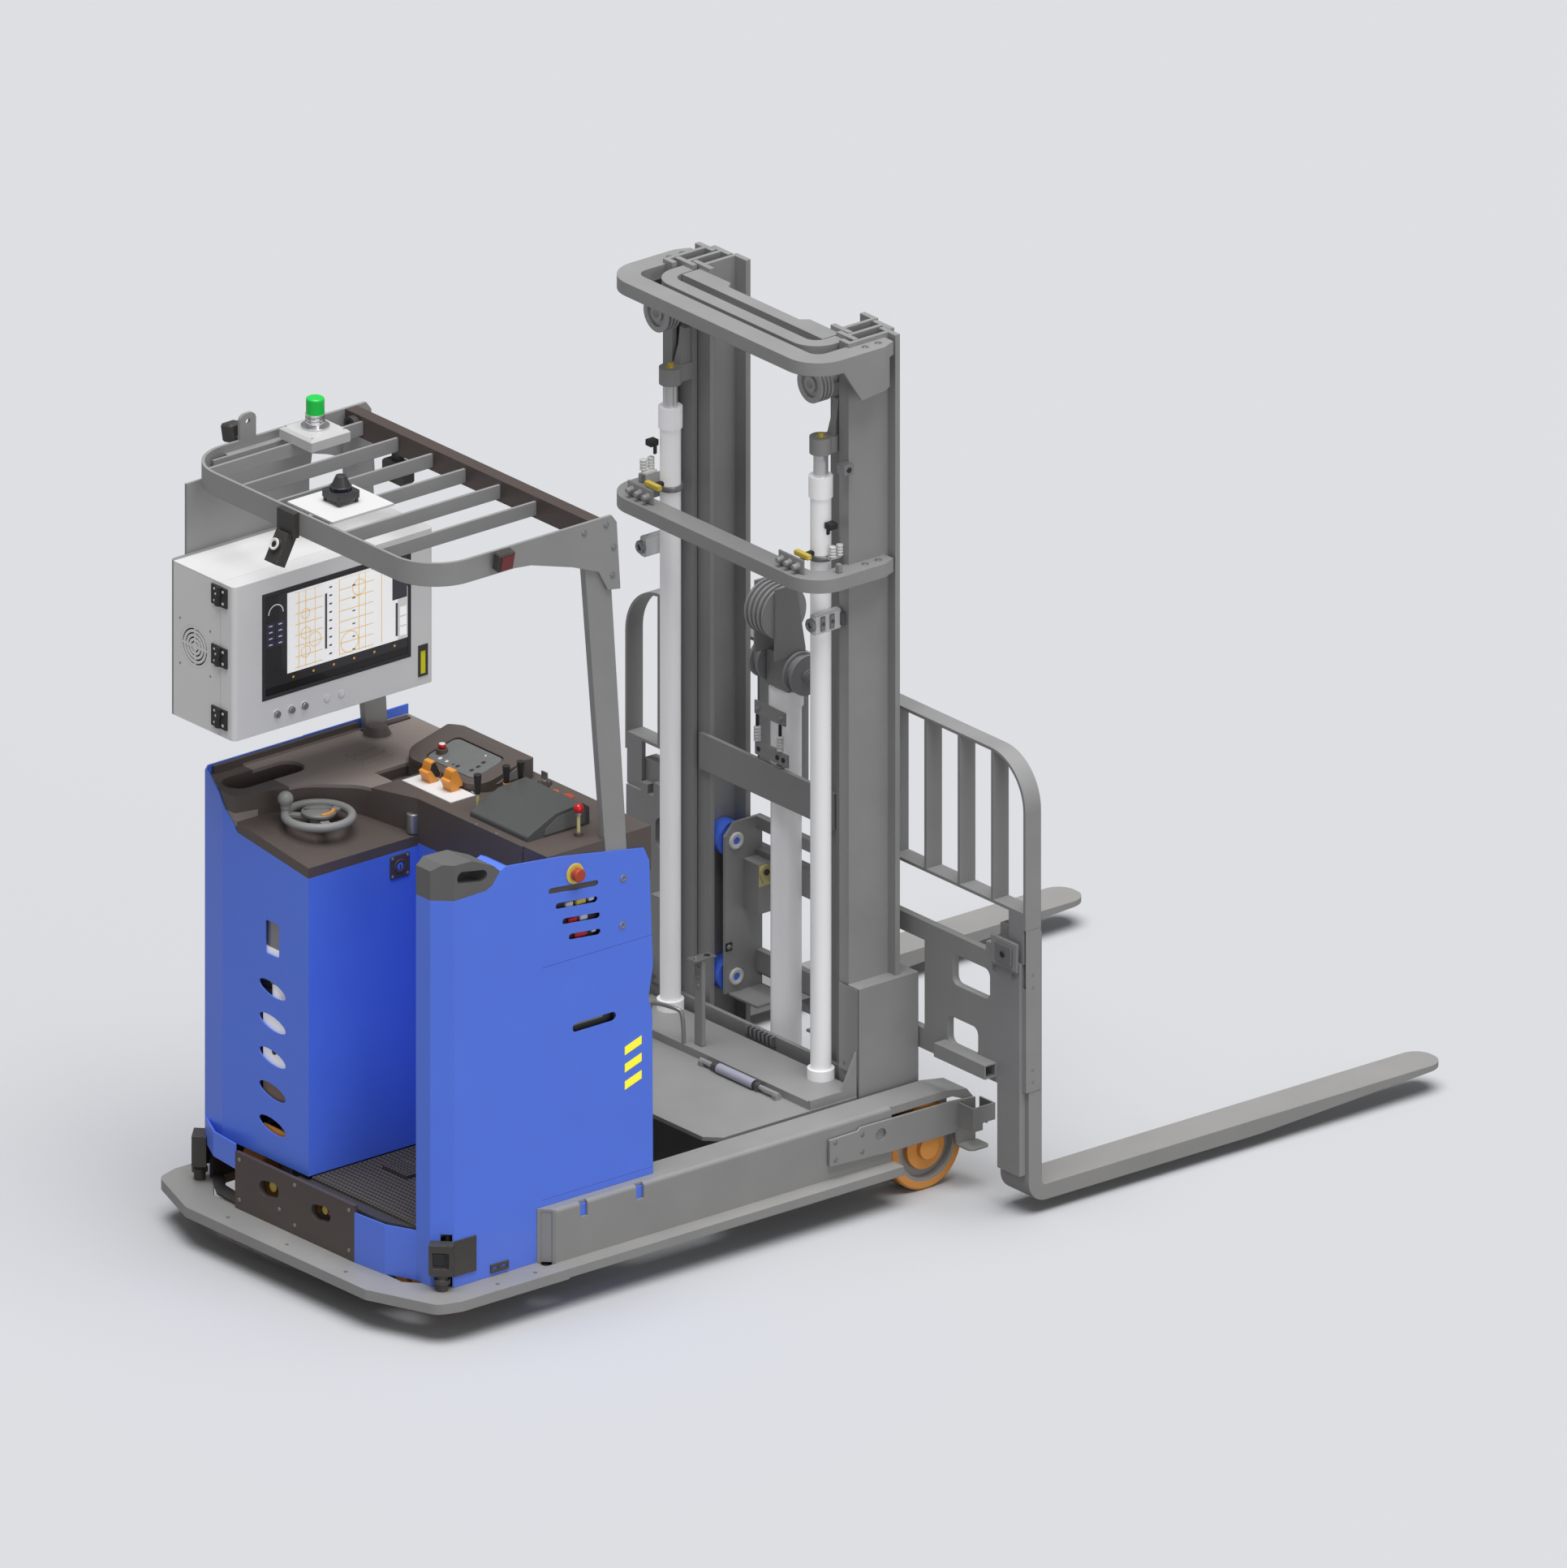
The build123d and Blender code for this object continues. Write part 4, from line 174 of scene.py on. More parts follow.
def finish(name, colour, rough=0.42, metal=0.0, grain=650, depth=0.05, mottle=0.10, wear=0.35, soft=0.0022,
           dust=0.25, coat=0.0, glow=0.0, zones=None, brushed=None):
    """A material. Zones are (where, colour, roughness, metal), each laid over the ones before it."""
    make = Maker(name)
    cloud = make.noise(7, 4)
    speck = make.noise(90, 5)
    fine = make.noise(grain, 3, brushed)
    shade = make.mix(cloud, [c * (1 - mottle) for c in colour[:3]] + [1],
                     [min(1, c * (1 + mottle)) for c in colour[:3]] + [1])
    rough_now = (cloud - 0.5) * 0.16 + (fine - 0.5) * 0.12 + rough
    metal_now = metal
    for mask, other, other_rough, *other_metal in (zones(make) if zones else []):
        shade = make.mix(mask, shade, make.mix(cloud, [c * 0.93 for c in other[:3]] + [1], other))
        rough_now = rough_now * (1 - mask) + mask * ((fine - 0.5) * 0.1 + other_rough)
        metal_now = metal_now * (1 - mask) + mask * (other_metal or [0.0])[0]
    rounded = make.node("ShaderNodeBevel", {"samples": 4}, {"Radius": soft})
    flat_side = make.node("ShaderNodeNewGeometry", {}, {}, "Normal")
    likeness = make.node(
        "ShaderNodeVectorMath", {"operation": "DOT_PRODUCT"}, {0: rounded, 1: flat_side}, "Value")
    rubbed = ((1 - likeness) * 14 & 1.0) * ((speck - 0.42) * 5 & 1.0 | 0.0) * wear
    shade = make.mix(rubbed, shade, BARE)
    low_down = ((320 - make.z) / 320 | 0.0) * (cloud * 0.8 + speck * 0.5) * dust
    shade = make.mix(low_down & 1.0, shade, DUST)
    bumped = make.node("ShaderNodeBump", {}, {
        "Strength": depth, "Distance": 0.001, "Height": fine + speck * 0.6, "Normal": rounded})
    sockets = {"Base Color": shade, "Roughness": (rough_now | 0.05) + low_down * 0.2, "Normal": bumped,
               "Metallic": metal_now, "Coat Weight": coat}
    # A glow makes the surface give off its own colour. The lit screen really does; on the tank, the pump, the
    # lift cylinders and the yellow bars the glow is painted light.
    if glow:
        sockets.update({"Emission Color": shade, "Emission Strength": glow})
    skin = make.node("ShaderNodeBsdfPrincipled", {}, sockets)
    make.tree.links.new(skin.socket, make.tree.nodes.new("ShaderNodeOutputMaterial").inputs["Surface"])
    return make.material


grey = finish("grey_paint", GREY)
blue = finish("blue_paint", BLUE, rough=0.38, coat=0.15, mottle=0.05, wear=0.25, zones=lambda m: [
    ((m.y < -515) & m.between(m.z, 963, 964.6) & m.inside(x=(498, 900)), rgb(60, 88, 190), 0.5),
    ((m.y < -515) & m.between(m.z, 292, 293.4) & m.inside(x=(498, 900)), rgb(60, 88, 190), 0.5)])
MOULDED = {"grain": 420, "depth": 0.12, "wear": 0.12, "mottle": 0.07}
SMOOTH = {"wear": 0.0, "dust": 0.0, "mottle": 0.0, "depth": 0.0}
brown = finish("brown_cover", rgb(82, 72, 69), rough=0.50, **MOULDED)
dark = finish("dark_frame", rgb(58, 58, 60), rough=0.5)
black = finish("black_plastic", BLACK, rough=0.52, grain=520, depth=0.12, wear=0.10)
grip_grey = finish("grip_grey", rgb(104), rough=0.55, grain=420, depth=0.15, wear=0.08)
white = finish("white_paint", WHITE, rough=0.36, wear=0.15, mottle=0.03)
steel = finish("zinc_steel", rgb(156, 156, 158), rough=0.34, metal=0.6, wear=0.0, brushed=(1, 1, 12))
wheel_grey = finish("wheel_grey", rgb(146, 146, 145), rough=0.5, grain=420, depth=0.12, wear=0.05)
# The oil tank and the pump inside the pod glow a little. That glow is painted light, which makes them show
# bright through the vents of the shaded pod.
tank_white = finish("tank_white", rgb(245), rough=0.4, wear=0.0, mottle=0.03, glow=0.22)
hose_brown = finish("hose_brown", rgb(120, 98, 84), rough=0.5, wear=0.0, glow=0.12)
orange = finish("orange_plastic", ORANGE, rough=0.38, wear=0.10)
yellow = finish("yellow_paint", YELLOW, rough=0.42, wear=0.12)
# The yellow bars glow a little: painted light that makes them brighter than the lamps do.
bar_yellow = finish("bar_yellow", rgb(252, 246, 60), rough=0.4, wear=0.0, mottle=0.02, glow=0.35)
red = finish("red_plastic", RED, rough=0.30, wear=0.05, coat=0.3)
print("plain finishes:", len(bpy.data.materials))

# %% [markdown]
# ## Finishes with more than one colour
# Some CAD pieces carry several finishes: a tyre on its hub, a lens on its foot, rollers on the carriage.
# The colour is chosen by where the point is on the truck, which costs no extra geometry and cannot slip.

# %% Zones of colour
HINGES_Z = (1554, 1732, 1906)
LIFT_X, LIFT_Y = 1625, 319
load_wheel = finish("load_wheel", ORANGE, rough=0.55, wear=0.05, zones=lambda m: [
    (m.between(m.ring(m.x, m.z, (1804, 122)), 64, 97.5), rgb(168), 0.4, 0.2)])
wheel_rubber = finish("drive_tyre", ORANGE, rough=0.62, depth=0.12, wear=0.0)
rod_and_cap = finish("lift_rods", GREY, zones=lambda m: [
    (m.inside(x=(1600, 1650), z=(0, 2103)), CHROME, 0.16, 0.55),
    ((m.ring(m.x, abs(m.y), (LIFT_X, LIFT_Y)) < 12.5) & (m.z > 2149.5), YELLOW, 0.4, 0.3)])
crosshead_finish = finish("crosshead", GREY, zones=lambda m: [(m.z < 1292.5, CHROME, 0.16, 0.55)])
# The lift cylinders glow a little: painted light that keeps them white where the mast shades them.
tube_white_painted_glow = finish(
    "cylinder_white", rgb(246, 246, 248), rough=0.3, wear=0.04, mottle=0.02, coat=0.3, glow=0.14)
signal_light = finish("stack_light", rgb(205), rough=0.34, zones=lambda m: [
    (m.inside(z=(2236, 2274)), CHROME, 0.14, 0.9), (m.z > 2274.2, rgb(36, 214, 84), 0.18)])


def hinge_zone(m):
    """The three hinges stand behind the cabinet's rear face."""
    return (m.x < 37.9) & any_of([abs(m.z - middle) < 29 for middle in HINGES_Z])


door_white = finish("cabinet_door", WHITE, rough=0.34, wear=0.15, mottle=0.03, zones=lambda m: [
    (m.inside(x=(135, 650), y=(200, 224.5), z=(1592, 1901)), rgb(52, 52, 54), 0.45),
    (m.inside(x=(146, 639), y=(200, 224.5), z=(1603, 1890)), rgb(28, 28, 32), 0.25),
    (hinge_zone(m), BLACK, 0.5),
    (m.inside(x=(673.5, 706.5), y=(210, 221.9), z=(1526.5, 1617.5)), rgb(66, 58, 56), 0.45),
    (m.inside(x=(681.2, 698.8), y=(220.4, 221.9), z=(1534, 1600)), rgb(236, 232, 20), 0.3)])
box_white = finish("cabinet_box", WHITE, rough=0.36, wear=0.15, mottle=0.03, zones=lambda m: [
    (hinge_zone(m), BLACK, 0.5), (m.y > 478, GREY, 0.42)])
carriage_paint = finish("carriage_paint", GREY, zones=lambda m: [
    ((m.ring(m.x, m.z, (1774.5, 380)) < 50) & (abs(m.y) > 241.5), rgb(80, 122, 250), 0.42),
    ((m.ring(m.x, m.z, (1774.5, 772)) < 50) & (abs(m.y) > 241.5), rgb(80, 122, 250), 0.42),
    (m.inside(x=(1801, 1843), z=(650, 712)) & m.between(abs(m.y), 145, 160.5), rgb(226, 214, 150), 0.4),
    ((m.ring(m.x, m.z, (1822, 691)) < 9.5) & m.between(abs(m.y), 145, 154.8), rgb(100, 98, 96), 0.3, 0.5)])
base_paint = finish("base_paint", GREY, zones=lambda m: [
    (m.inside(x=(1461, 1479), y=(-330, 0), z=(279.5, 300)), rgb(196, 196, 198), 0.3, 0.5),
    (m.inside(x=(1455, 1485), y=(-236, -70), z=(275, 303)), rgb(176, 178, 196), 0.35),
    (m.inside(x=(1455, 1485), y=(-253, -230), z=(275, 303)), rgb(78, 78, 80), 0.4),
    (m.inside(x=(1455, 1485), y=(-78, -53), z=(275, 303)), rgb(78, 78, 80), 0.4)])
lever_finish = finish("control_lever", BLACK, rough=0.5, depth=0.14, zones=lambda m: [
    (m.inside(z=(1270, 1325)), rgb(226, 216, 150), 0.3, 0.2)])
release_finish = finish("release_handle", RED, rough=0.3, coat=0.3, zones=lambda m: [
    (m.z < 1343, rgb(228, 220, 160), 0.3, 0.2)])
stop_finish = finish("stop_button", STOP_RED, rough=0.34, coat=0.2)
console_finish = finish(
        "console_brown", BROWN, rough=0.48, grain=420, depth=0.14, wear=0.12, mottle=0.07, zones=lambda m: [
    # This white strip along the hood's rear edge is a painted highlight.
    (m.inside(x=(559, 646), y=(-58, 151), z=(1278.5, 1283)), rgb(244), 0.4),
    # These two lighter browns are painted light: they lift the left wing and its tray out of the shade under
    # the cabinet.
    (m.inside(x=(100, 470), y=(330, 500), z=(1195, 1230)), rgb(150, 140, 134), 0.5),
    (m.inside(x=(300, 900), y=(165, 520), z=(1268, 1284)), rgb(150, 139, 134), 0.5)])
covers_finish = finish("console_covers", BROWN, rough=0.46, grain=420, depth=0.12, wear=0.1, zones=lambda m: [
    (m.inside(x=(540, 762), y=(-405, -158), z=(1278, 1400)), rgb(84, 86, 86), 0.42),
    (m.ring(m.x, m.y, (790, -267)) < 25, YELLOW, 0.4),
    (m.ring(m.x, m.y, (792, -205)) < 18, rgb(206, 102, 34), 0.4),
    (m.ring(m.x, m.y, (800, -160)) < 15, rgb(60, 44, 40), 0.4)])
mat_finish = finish(
    "mat_rubber", rgb(84, 79, 76), rough=0.75, grain=300, depth=0.25, wear=0.0, dust=0.3,
    zones=lambda m: [((m.y % 13) < 4, rgb(50, 46, 44), 0.8)])
battery_finish = finish("battery_case", rgb(96, 100, 96), rough=0.5)
sheave_finish = finish("sheave_steel", rgb(176), rough=0.35, metal=0.25, wear=0.3)
pulley_finish = finish("chain_pulley", rgb(156, 156, 158), rough=0.4, metal=0.1, wear=0.3)
valve_grey = finish("valve_grey", rgb(226, 226, 228), rough=0.36, metal=0.1, wear=0.1)
drive_finish = finish(
    "cast_metal", rgb(140, 140, 142), rough=0.5, metal=0.2, depth=0.3, grain=260,
    zones=lambda m: [(m.inside(z=(700, 742)), rgb(96, 96, 98), 0.5, 0.2)])
scanner_finish = finish("scanner_housing", rgb(64, 62, 60), rough=0.5, depth=0.12)
lidar_finish = finish("lidar_unit", rgb(58, 58, 60), rough=0.4, zones=lambda m: [
    (m.inside(z=(2199, 2206.5)), WHITE, 0.4), (m.inside(z=(2240, 2252)), rgb(28, 28, 40), 0.12)])
key_finish = finish("key_steel", STEEL, rough=0.28, metal=0.8, wear=0.0)
print("zoned finishes made, materials now", len(bpy.data.materials))

# %% Put the finishes on the CAD pieces
FINISH_OF = {
    grey: "straddle_legs leg_fittings rear_bumper guard_frame guard_posts outer_mast middle_mast inner_mast "
          "fork_frame forks load_backrest caster_fork", crosshead_finish: "crosshead",
    blue: "pod_shell side_panel compartment_wall", brown: "rear_panel guard_front_beam",
    dark: "chassis_frame",
    rod_and_cap: "lift_rods", tube_white_painted_glow: "lift_cylinders free_lift_cylinder", base_paint: "reach_base",
    box_white: "cabinet_box",
    door_white: "cabinet_door", carriage_paint: "carriage", load_wheel: "load_wheel_right load_wheel_left",
    wheel_rubber: "drive_wheel caster_wheels", signal_light: "stack_light", battery_finish: "battery",
    console_finish: "console_top", covers_finish: "console_covers",
    grip_grey: "grab_handle", wheel_grey: "steering_wheel steering_knob",
    scanner_finish: "corner_scanners guard_cameras", lidar_finish: "lidar_unit",
    lever_finish: "control_lever_1 control_lever_2 control_lever_3", orange: "rocker_1 rocker_2",
    stop_finish: "console_stop_button side_stop_button", release_finish: "release_handle", red: "red_button",
    key_finish: "key_switch door_button_1 door_button_2 door_button_3", drive_finish: "drive_unit",
    pulley_finish: "chain_pulleys", sheave_finish: "crosshead_sheave hose_sheave_right hose_sheave_left",
    mat_finish: "platform_mat pedal"}
dressed = set()
for material, names in FINISH_OF.items():
    for name in names.split():
        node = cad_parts[name]
        if not node.material_slots:
            node.data.materials.append(material)
        for place in node.material_slots:
            place.material = material
        dressed.add(name)
print("without a finish:", sorted(set(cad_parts) - dressed))

# %% [markdown]
# ## The camera, the floor and the light
# The picture was taken without perspective, from the truck's rear right corner and a little above, so the
# camera is orthographic. The floor is pale to the camera, and darker to the light that bounces off it,
# which keeps the undersides dark. A broad sun lights the tops, a weaker one the near side, and an even sky
# fills the rest.

# %% Camera
TURN, RISE = math.radians(-39.16), math.radians(22.05)
toward = Vector((math.sin(TURN) * math.cos(RISE), -math.cos(TURN) * math.cos(RISE), math.sin(RISE)))
aim = Vector((0.0899, 0.0, 1.0106))
lens = bpy.data.cameras.new("view")
lens.type, lens.ortho_scale, lens.clip_end = "ORTHO", 4.2, 60
camera = placed("view", lens)
camera.location = aim + toward * 12
camera.rotation_euler = toward.to_track_quat("Z", "Y").to_euler()
bpy.context.scene.camera = camera
bpy.context.scene.view_settings.view_transform = "Standard"
print("camera", [round(value, 3) for value in camera.location], "shows", lens.ortho_scale, "m")

# %% Floor, sky and lamps
floor_mesh = bpy.data.meshes.new("floor")
far = 40
floor_mesh.from_pydata([(-far, -far, 0), (far, -far, 0), (far, far, 0), (-far, far, 0)], [], [(0, 1, 2, 3)])
floor = placed("floor", floor_mesh)
ground = bpy.data.materials.new("pale_floor")
ground.use_nodes = True
paint = ground.node_tree.nodes["Principled BSDF"]
paint.inputs["Roughness"].default_value = 0.8
sight, tones = ground.node_tree.nodes.new("ShaderNodeLightPath"), ground.node_tree.nodes.new("ShaderNodeMix")
tones.data_type = "RGBA"
ground.node_tree.links.new(sight.outputs["Is Camera Ray"], tones.inputs["Factor"])
tones.inputs[6].default_value, tones.inputs[7].default_value = (0.28, 0.28, 0.29, 1), (0.55, 0.56, 0.58, 1)
ground.node_tree.links.new(tones.outputs[2], paint.inputs["Base Color"])
floor_mesh.materials.append(ground)
sky = bpy.data.worlds.new("sky")
bpy.context.scene.world = sky
sky.use_nodes = True
sky.node_tree.nodes["Background"].inputs["Color"].default_value = (1, 1, 1, 1)
sky.node_tree.nodes["Background"].inputs["Strength"].default_value = 0.22
suns = (("key", 3.4, 50, (-0.06, -0.14, 0.98)), ("side", 0.66, 40, (-0.1, -0.98, 0.15)))
for name, strength, spread, direction in suns:
    lamp = bpy.data.lights.new(name, "SUN")
    lamp.energy, lamp.angle = strength, math.radians(spread)
    holder = placed(name, lamp)
    holder.rotation_euler = Vector(direction).to_track_quat("Z", "Y").to_euler()
print("floor, sky and", len(suns), "lamps set")

# %% [markdown]
# ## Workshop tools for the small fittings
# Fittings are made the way a workshop makes them: cut from plate, turned on a lathe or sawn from bar and
# then deburred. Each tool adds one closed shape to a mesh, so that a fitting of many shapes is still one
# piece.

# %% Plate, lathe and saw
SHARP_FROM = math.radians(38)


@contextmanager
def fitting(name, body, slot_name, *finishes):
    """Everything made inside becomes one piece on that body."""
    bm = bmesh.new()
    done = bm.faces.layers.int.new("coloured")
    yield bm
    bm.faces.layers.int.remove(done)
    bmesh.ops.recalc_face_normals(bm, faces=bm.faces)
    mesh = bpy.data.meshes.new(name)
    bm.to_mesh(mesh)
    bm.free()
    for material in finishes:
        mesh.materials.append(material)
    mesh.polygons.foreach_set("use_smooth", [True] * len(mesh.polygons))
    mesh.set_sharp_from_angle(angle=SHARP_FROM)
    piece = placed(name, mesh)
    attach(piece, body)
    print(name, "on", body, "-", len(mesh.polygons), "faces")


def colour_new(bm, tone):
    """Gives the faces made since the last call their finish."""
    done = bm.faces.layers.int["coloured"]
    for face in bm.faces:
        if not face[done]:
            face.material_index, face[done] = tone, 1


def sawn(bm, x, y, z, round_off=1.5, tone=0, turn=None):
    """A block between two sizes along each axis, its edges broken; turn leans it about its middle."""
    middle = at(*((low + high) / 2 for low, high in (x, y, z)))
    size = [abs(high - low) / 1000 for low, high in (x, y, z)]
    place = Matrix.Translation(middle) @ (turn or Matrix()) @ Matrix.Diagonal((*size, 1))
    made = bmesh.ops.create_cube(bm, size=1, matrix=place)["verts"]
    edges = list({edge for vert in made for edge in vert.link_edges})
    bmesh.ops.bevel(bm, geom=edges, offset=min(round_off / 1000, min(size) * 0.4), segments=2, affect="EDGES")
    colour_new(bm, tone)


def turned(bm, foot, toward_point, profile, tone=0, sides=32):
    """A shape spun round an axis. The profile lists radius and height above the foot, in millimetres."""
    axis = (Vector(toward_point)).normalized()
    side = axis.orthogonal().normalized()
    across = axis.cross(side)
    rings = []
    for radius, height in profile:
        centre = at(*foot) + axis * height / 1000
        if radius == 0:
            rings.append([bm.verts.new(centre)])
            continue
        rings.append([bm.verts.new(centre + (side * math.cos(a) + across * math.sin(a)) * radius / 1000)
                      for a in (math.tau * i / sides for i in range(sides))])
    open_ended = profile[0][0] > 0
    pairs = list(zip(rings, rings[1:])) + ([(rings[-1], rings[0])] if open_ended else [])
    for first, second in pairs:
        for i in range(sides):
            corners = [first[i % len(first)], first[(i + 1) % len(first)],
                       second[(i + 1) % len(second)], second[i % len(second)]]
            bm.faces.new(list(dict.fromkeys(corners)))
    colour_new(bm, tone)


def stud(bm, foot, way, wide, shoulder, narrow, height, tone=0, sides=24):
    """A round head whose side is straight to the shoulder and slants from there to the narrower top."""
    turned(bm, foot, way, [(0, 0), (wide, 0), (wide, shoulder), (narrow, height), (0, height)], tone, sides)


def plate(bm, outline, low, high, axis="y", tone=0, burr=0.4):
    """A flat outline cut from sheet. The axis is the one that the sheet's thickness lies along."""
    def spot(point, depth):
        a, b = point
        return at(*{"y": (a, depth, b), "x": (depth, a, b), "z": (a, b, depth)}[axis])
    base = bm.faces.new([bm.verts.new(spot(point, low)) for point in outline])
    grown = bmesh.ops.extrude_face_region(bm, geom=[base])["geom"]
    moved = spot((0, 0), high) - spot((0, 0), low)
    top = [one for one in grown if isinstance(one, bmesh.types.BMVert)]
    bmesh.ops.translate(bm, verts=top, vec=moved)
    rim = [one for one in grown if isinstance(one, bmesh.types.BMEdge)]
    bmesh.ops.bevel(bm, geom=rim, offset=burr / 1000, segments=1, affect="EDGES")
    colour_new(bm, tone)


def rounded(width, height, radius, steps=5):
    """The outline of a rectangle with round corners, about its middle."""
    points = []
    for cx, cy, start in ((1, 1, 0), (-1, 1, 90), (-1, -1, 180), (1, -1, 270)):
        for i in range(steps + 1):
            angle = math.radians(start + 90 * i / steps)
            points.append((cx * (width / 2 - radius) + radius * math.cos(angle),
                           cy * (height / 2 - radius) + radius * math.sin(angle)))
    return points


def bent_pipe(name, body, material, points, radius):
    """A hose or tube along a smooth curve, turned into a mesh with closed ends."""
    curve = bpy.data.curves.new(name, "CURVE")
    curve.dimensions, curve.bevel_depth, curve.bevel_resolution = "3D", radius / 1000, 4
    curve.use_fill_caps, curve.resolution_u = True, 10
    spline = curve.splines.new("NURBS")
    spline.points.add(len(points) - 1)
    for point, where in zip(spline.points, points):
        point.co = (*at(*where), 1)
    spline.order_u, spline.use_endpoint_u = 3, True
    holder = placed(name + "_path", curve)
    mesh = bpy.data.meshes.new_from_object(holder.evaluated_get(bpy.context.evaluated_depsgraph_get()))
    bpy.data.objects.remove(holder)
    mesh.name = name
    mesh.materials.clear()
    mesh.materials.append(material)
    mesh.polygons.foreach_set("use_smooth", [True] * len(mesh.polygons))
    piece = placed(name, mesh)
    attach(piece, body)


RIGHT, REAR, UP = (0, -1, 0), (-1, 0, 0), (0, 0, 1)
print("workshop ready")

# %% [markdown]
# ## Screws by the dozen
# A truck like this has scores of screws, all alike. Geometry Nodes suit that: one small tree makes a head
# and a washer and sets a copy on each marked point. Its inputs are the heads' size, sides, facing and
# finish. The copies are then made real, because an exported model keeps only plain meshes. Both trees of
# this truck end alike, so one function makes them from tables of their inputs, nodes and links.

# %% The screw tree
def copying_tree(name, inputs, kinds, links):
    """A tree that sets copies on points. A link is written "node.socket > node.socket"."""
    tree = bpy.data.node_groups.new(name, "GeometryNodeTree")
    identifiers = {label: tree.interface.new_socket(label, in_out="INPUT", socket_type=kind).identifier
                   for label, kind in inputs.items()}
    tree.interface.new_socket("Copies", in_out="OUTPUT", socket_type="NodeSocketGeometry")
    kinds = {"given": "NodeGroupInput", "result": "NodeGroupOutput", **kinds,
             "place": "GeometryNodeInstanceOnPoints", "real": "GeometryNodeRealizeInstances",
             "coat": "GeometryNodeSetMaterial"}
    nodes = {key: tree.nodes.new(kind) for key, kind in kinds.items()}
    for line in (*links, "place.Instances > real.0", "real.0 > coat.Geometry", "given.Finish > coat.Material",
                 "coat.0 > result.0"):
        (start, plug), (end, port) = [part.split(".") for part in line.split(" > ")]
        tree.links.new(nodes[start].outputs[int(plug) if plug.isdigit() else plug],
                       nodes[end].inputs[int(port) if port.isdigit() else port])
    print("tree of", name, "with", len(nodes), "nodes and", len(identifiers), "inputs")
    return tree, identifiers, nodes


def copies(name, mesh, tree, identifiers, values):
    """An object whose mesh the tree makes, each input set by its identifier."""
    piece = placed(name, mesh)
    modifier = piece.modifiers.new("copies", "NODES")
    modifier.node_group = tree
    for label, value in values.items():
        modifier[identifiers[label]] = value
    return piece


def make_plain(piece):
    """Keeps what the modifiers made as an ordinary mesh."""
    piece.data = bpy.data.meshes.new_from_object(piece.evaluated_get(bpy.context.evaluated_depsgraph_get()))
    piece.modifiers.clear()


SCREW_TREE, SCREW_INPUTS, SCREW_NODES = copying_tree(
    "screws",
    {"Marks": "NodeSocketGeometry", "Head radius": "NodeSocketFloat", "Head height": "NodeSocketFloat",
     "Facing": "NodeSocketVector", "Sides": "NodeSocketInt", "Finish": "NodeSocketMaterial"},
    {"head": "GeometryNodeMeshCylinder", "washer": "GeometryNodeMeshCylinder", "wide": "ShaderNodeMath",
     "thin": "ShaderNodeMath", "join": "GeometryNodeJoinGeometry", "dots": "GeometryNodeMeshToPoints"},
    ("given.Head radius > head.Radius", "given.Head height > head.Depth", "given.Sides > head.Vertices",
     "given.Head radius > wide.0", "given.Head height > thin.0", "wide.0 > washer.Radius",
     "thin.0 > washer.Depth", "head.Mesh > join.0", "washer.Mesh > join.0", "given.Marks > dots.Mesh",
     "dots.Points > place.Points", "join.0 > place.Instance", "given.Facing > place.Rotation"))
for key, factor in (("wide", 1.45), ("thin", 0.4)):
    SCREW_NODES[key].operation, SCREW_NODES[key].inputs[1].default_value = "MULTIPLY", factor
SCREW_NODES["washer"].inputs["Vertices"].default_value = 16


def screws(name, body, facing, points, radius=6, height=5, sides=6, material=None):
    """Sets one screw on each point, as a single mesh on one body."""
    marks = bpy.data.meshes.new(name + "_marks")
    marks.from_pydata([at(*point) for point in points], [], [])
    turn = Vector(facing).to_track_quat("Z", "Y").to_euler()
    piece = copies(name, marks, SCREW_TREE, SCREW_INPUTS, {
        "Head radius": radius / 1000, "Head height": height / 1000, "Facing": tuple(turn), "Sides": sides,
        "Finish": material or steel})
    make_plain(piece)
    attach(piece, body)
    print(name, "-", len(points), "screws on", body)


# %% [markdown]
# ## The right side panel
# The blue panel carries an emergency stop on a yellow plate, slanting yellow bars, two fixing points and,
# behind the vents, a strip of fuses and clips whose colours show through. The bars are thin vinyl on the
# real truck. A zone of colour could make them, but cut as sheet less than a millimetre thick they have an
# edge that catches the light.

# %% Stop plate, bars, fixings and the strip behind the vents
SIDE = -521
STOP_X, STOP_Z = 610, 1209
with fitting("stop_plate", "truck", "orange_plastic", yellow, steel) as bm:
    turned(bm, (STOP_X, SIDE, STOP_Z), RIGHT, [(10, 0), (29, 0), (29, 2.2), (28, 3), (10, 3)])
    turned(bm, (STOP_X, SIDE - 3, STOP_Z), RIGHT, [(10, 0), (15, 0), (15, 1), (14, 1.6), (10, 1.6)], tone=1)
# The bars' finish glows: painted light that brightens them.
with fitting("yellow_bars", "truck", "orange_plastic", bar_yellow) as bm:
    for drop in (0, 50, 100):
        plate(bm, [(783, 639 - drop), (841, 658 - drop), (841, 682 - drop), (783, 663 - drop)],
              SIDE - 0.8, SIDE, burr=0.1)
with fitting("panel_fixings", "truck", "steel", steel) as bm:
    for x, z in ((778, 1152), (775, 1017)):
        turned(bm, (x, SIDE, z), RIGHT, [(4.5, 0), (11, 0), (11, 1.2), (9.5, 2.2), (6, 2.2), (4.5, 1)])
with fitting("fuse_strip", "truck", "dark_plastic", brown, red, white, yellow) as bm:
    sawn(bm, (540, 712), (-501, -497), (1012, 1182))
    for x, z, width, tone in (
            (580, 1165, 30, 3), (622, 1166, 44, 2), (668, 1168, 24, 1), (600, 1118, 26, 2),
            (640, 1118, 34, 3), (676, 1119, 20, 2), (612, 1070, 30, 1), (650, 1070, 26, 2),
            (640, 1024, 44, 1), (684, 1026, 16, 2)):
        sawn(bm, (x - width / 2, x + width / 2), (-512, -501), (z - 8, z + 8), tone=tone)

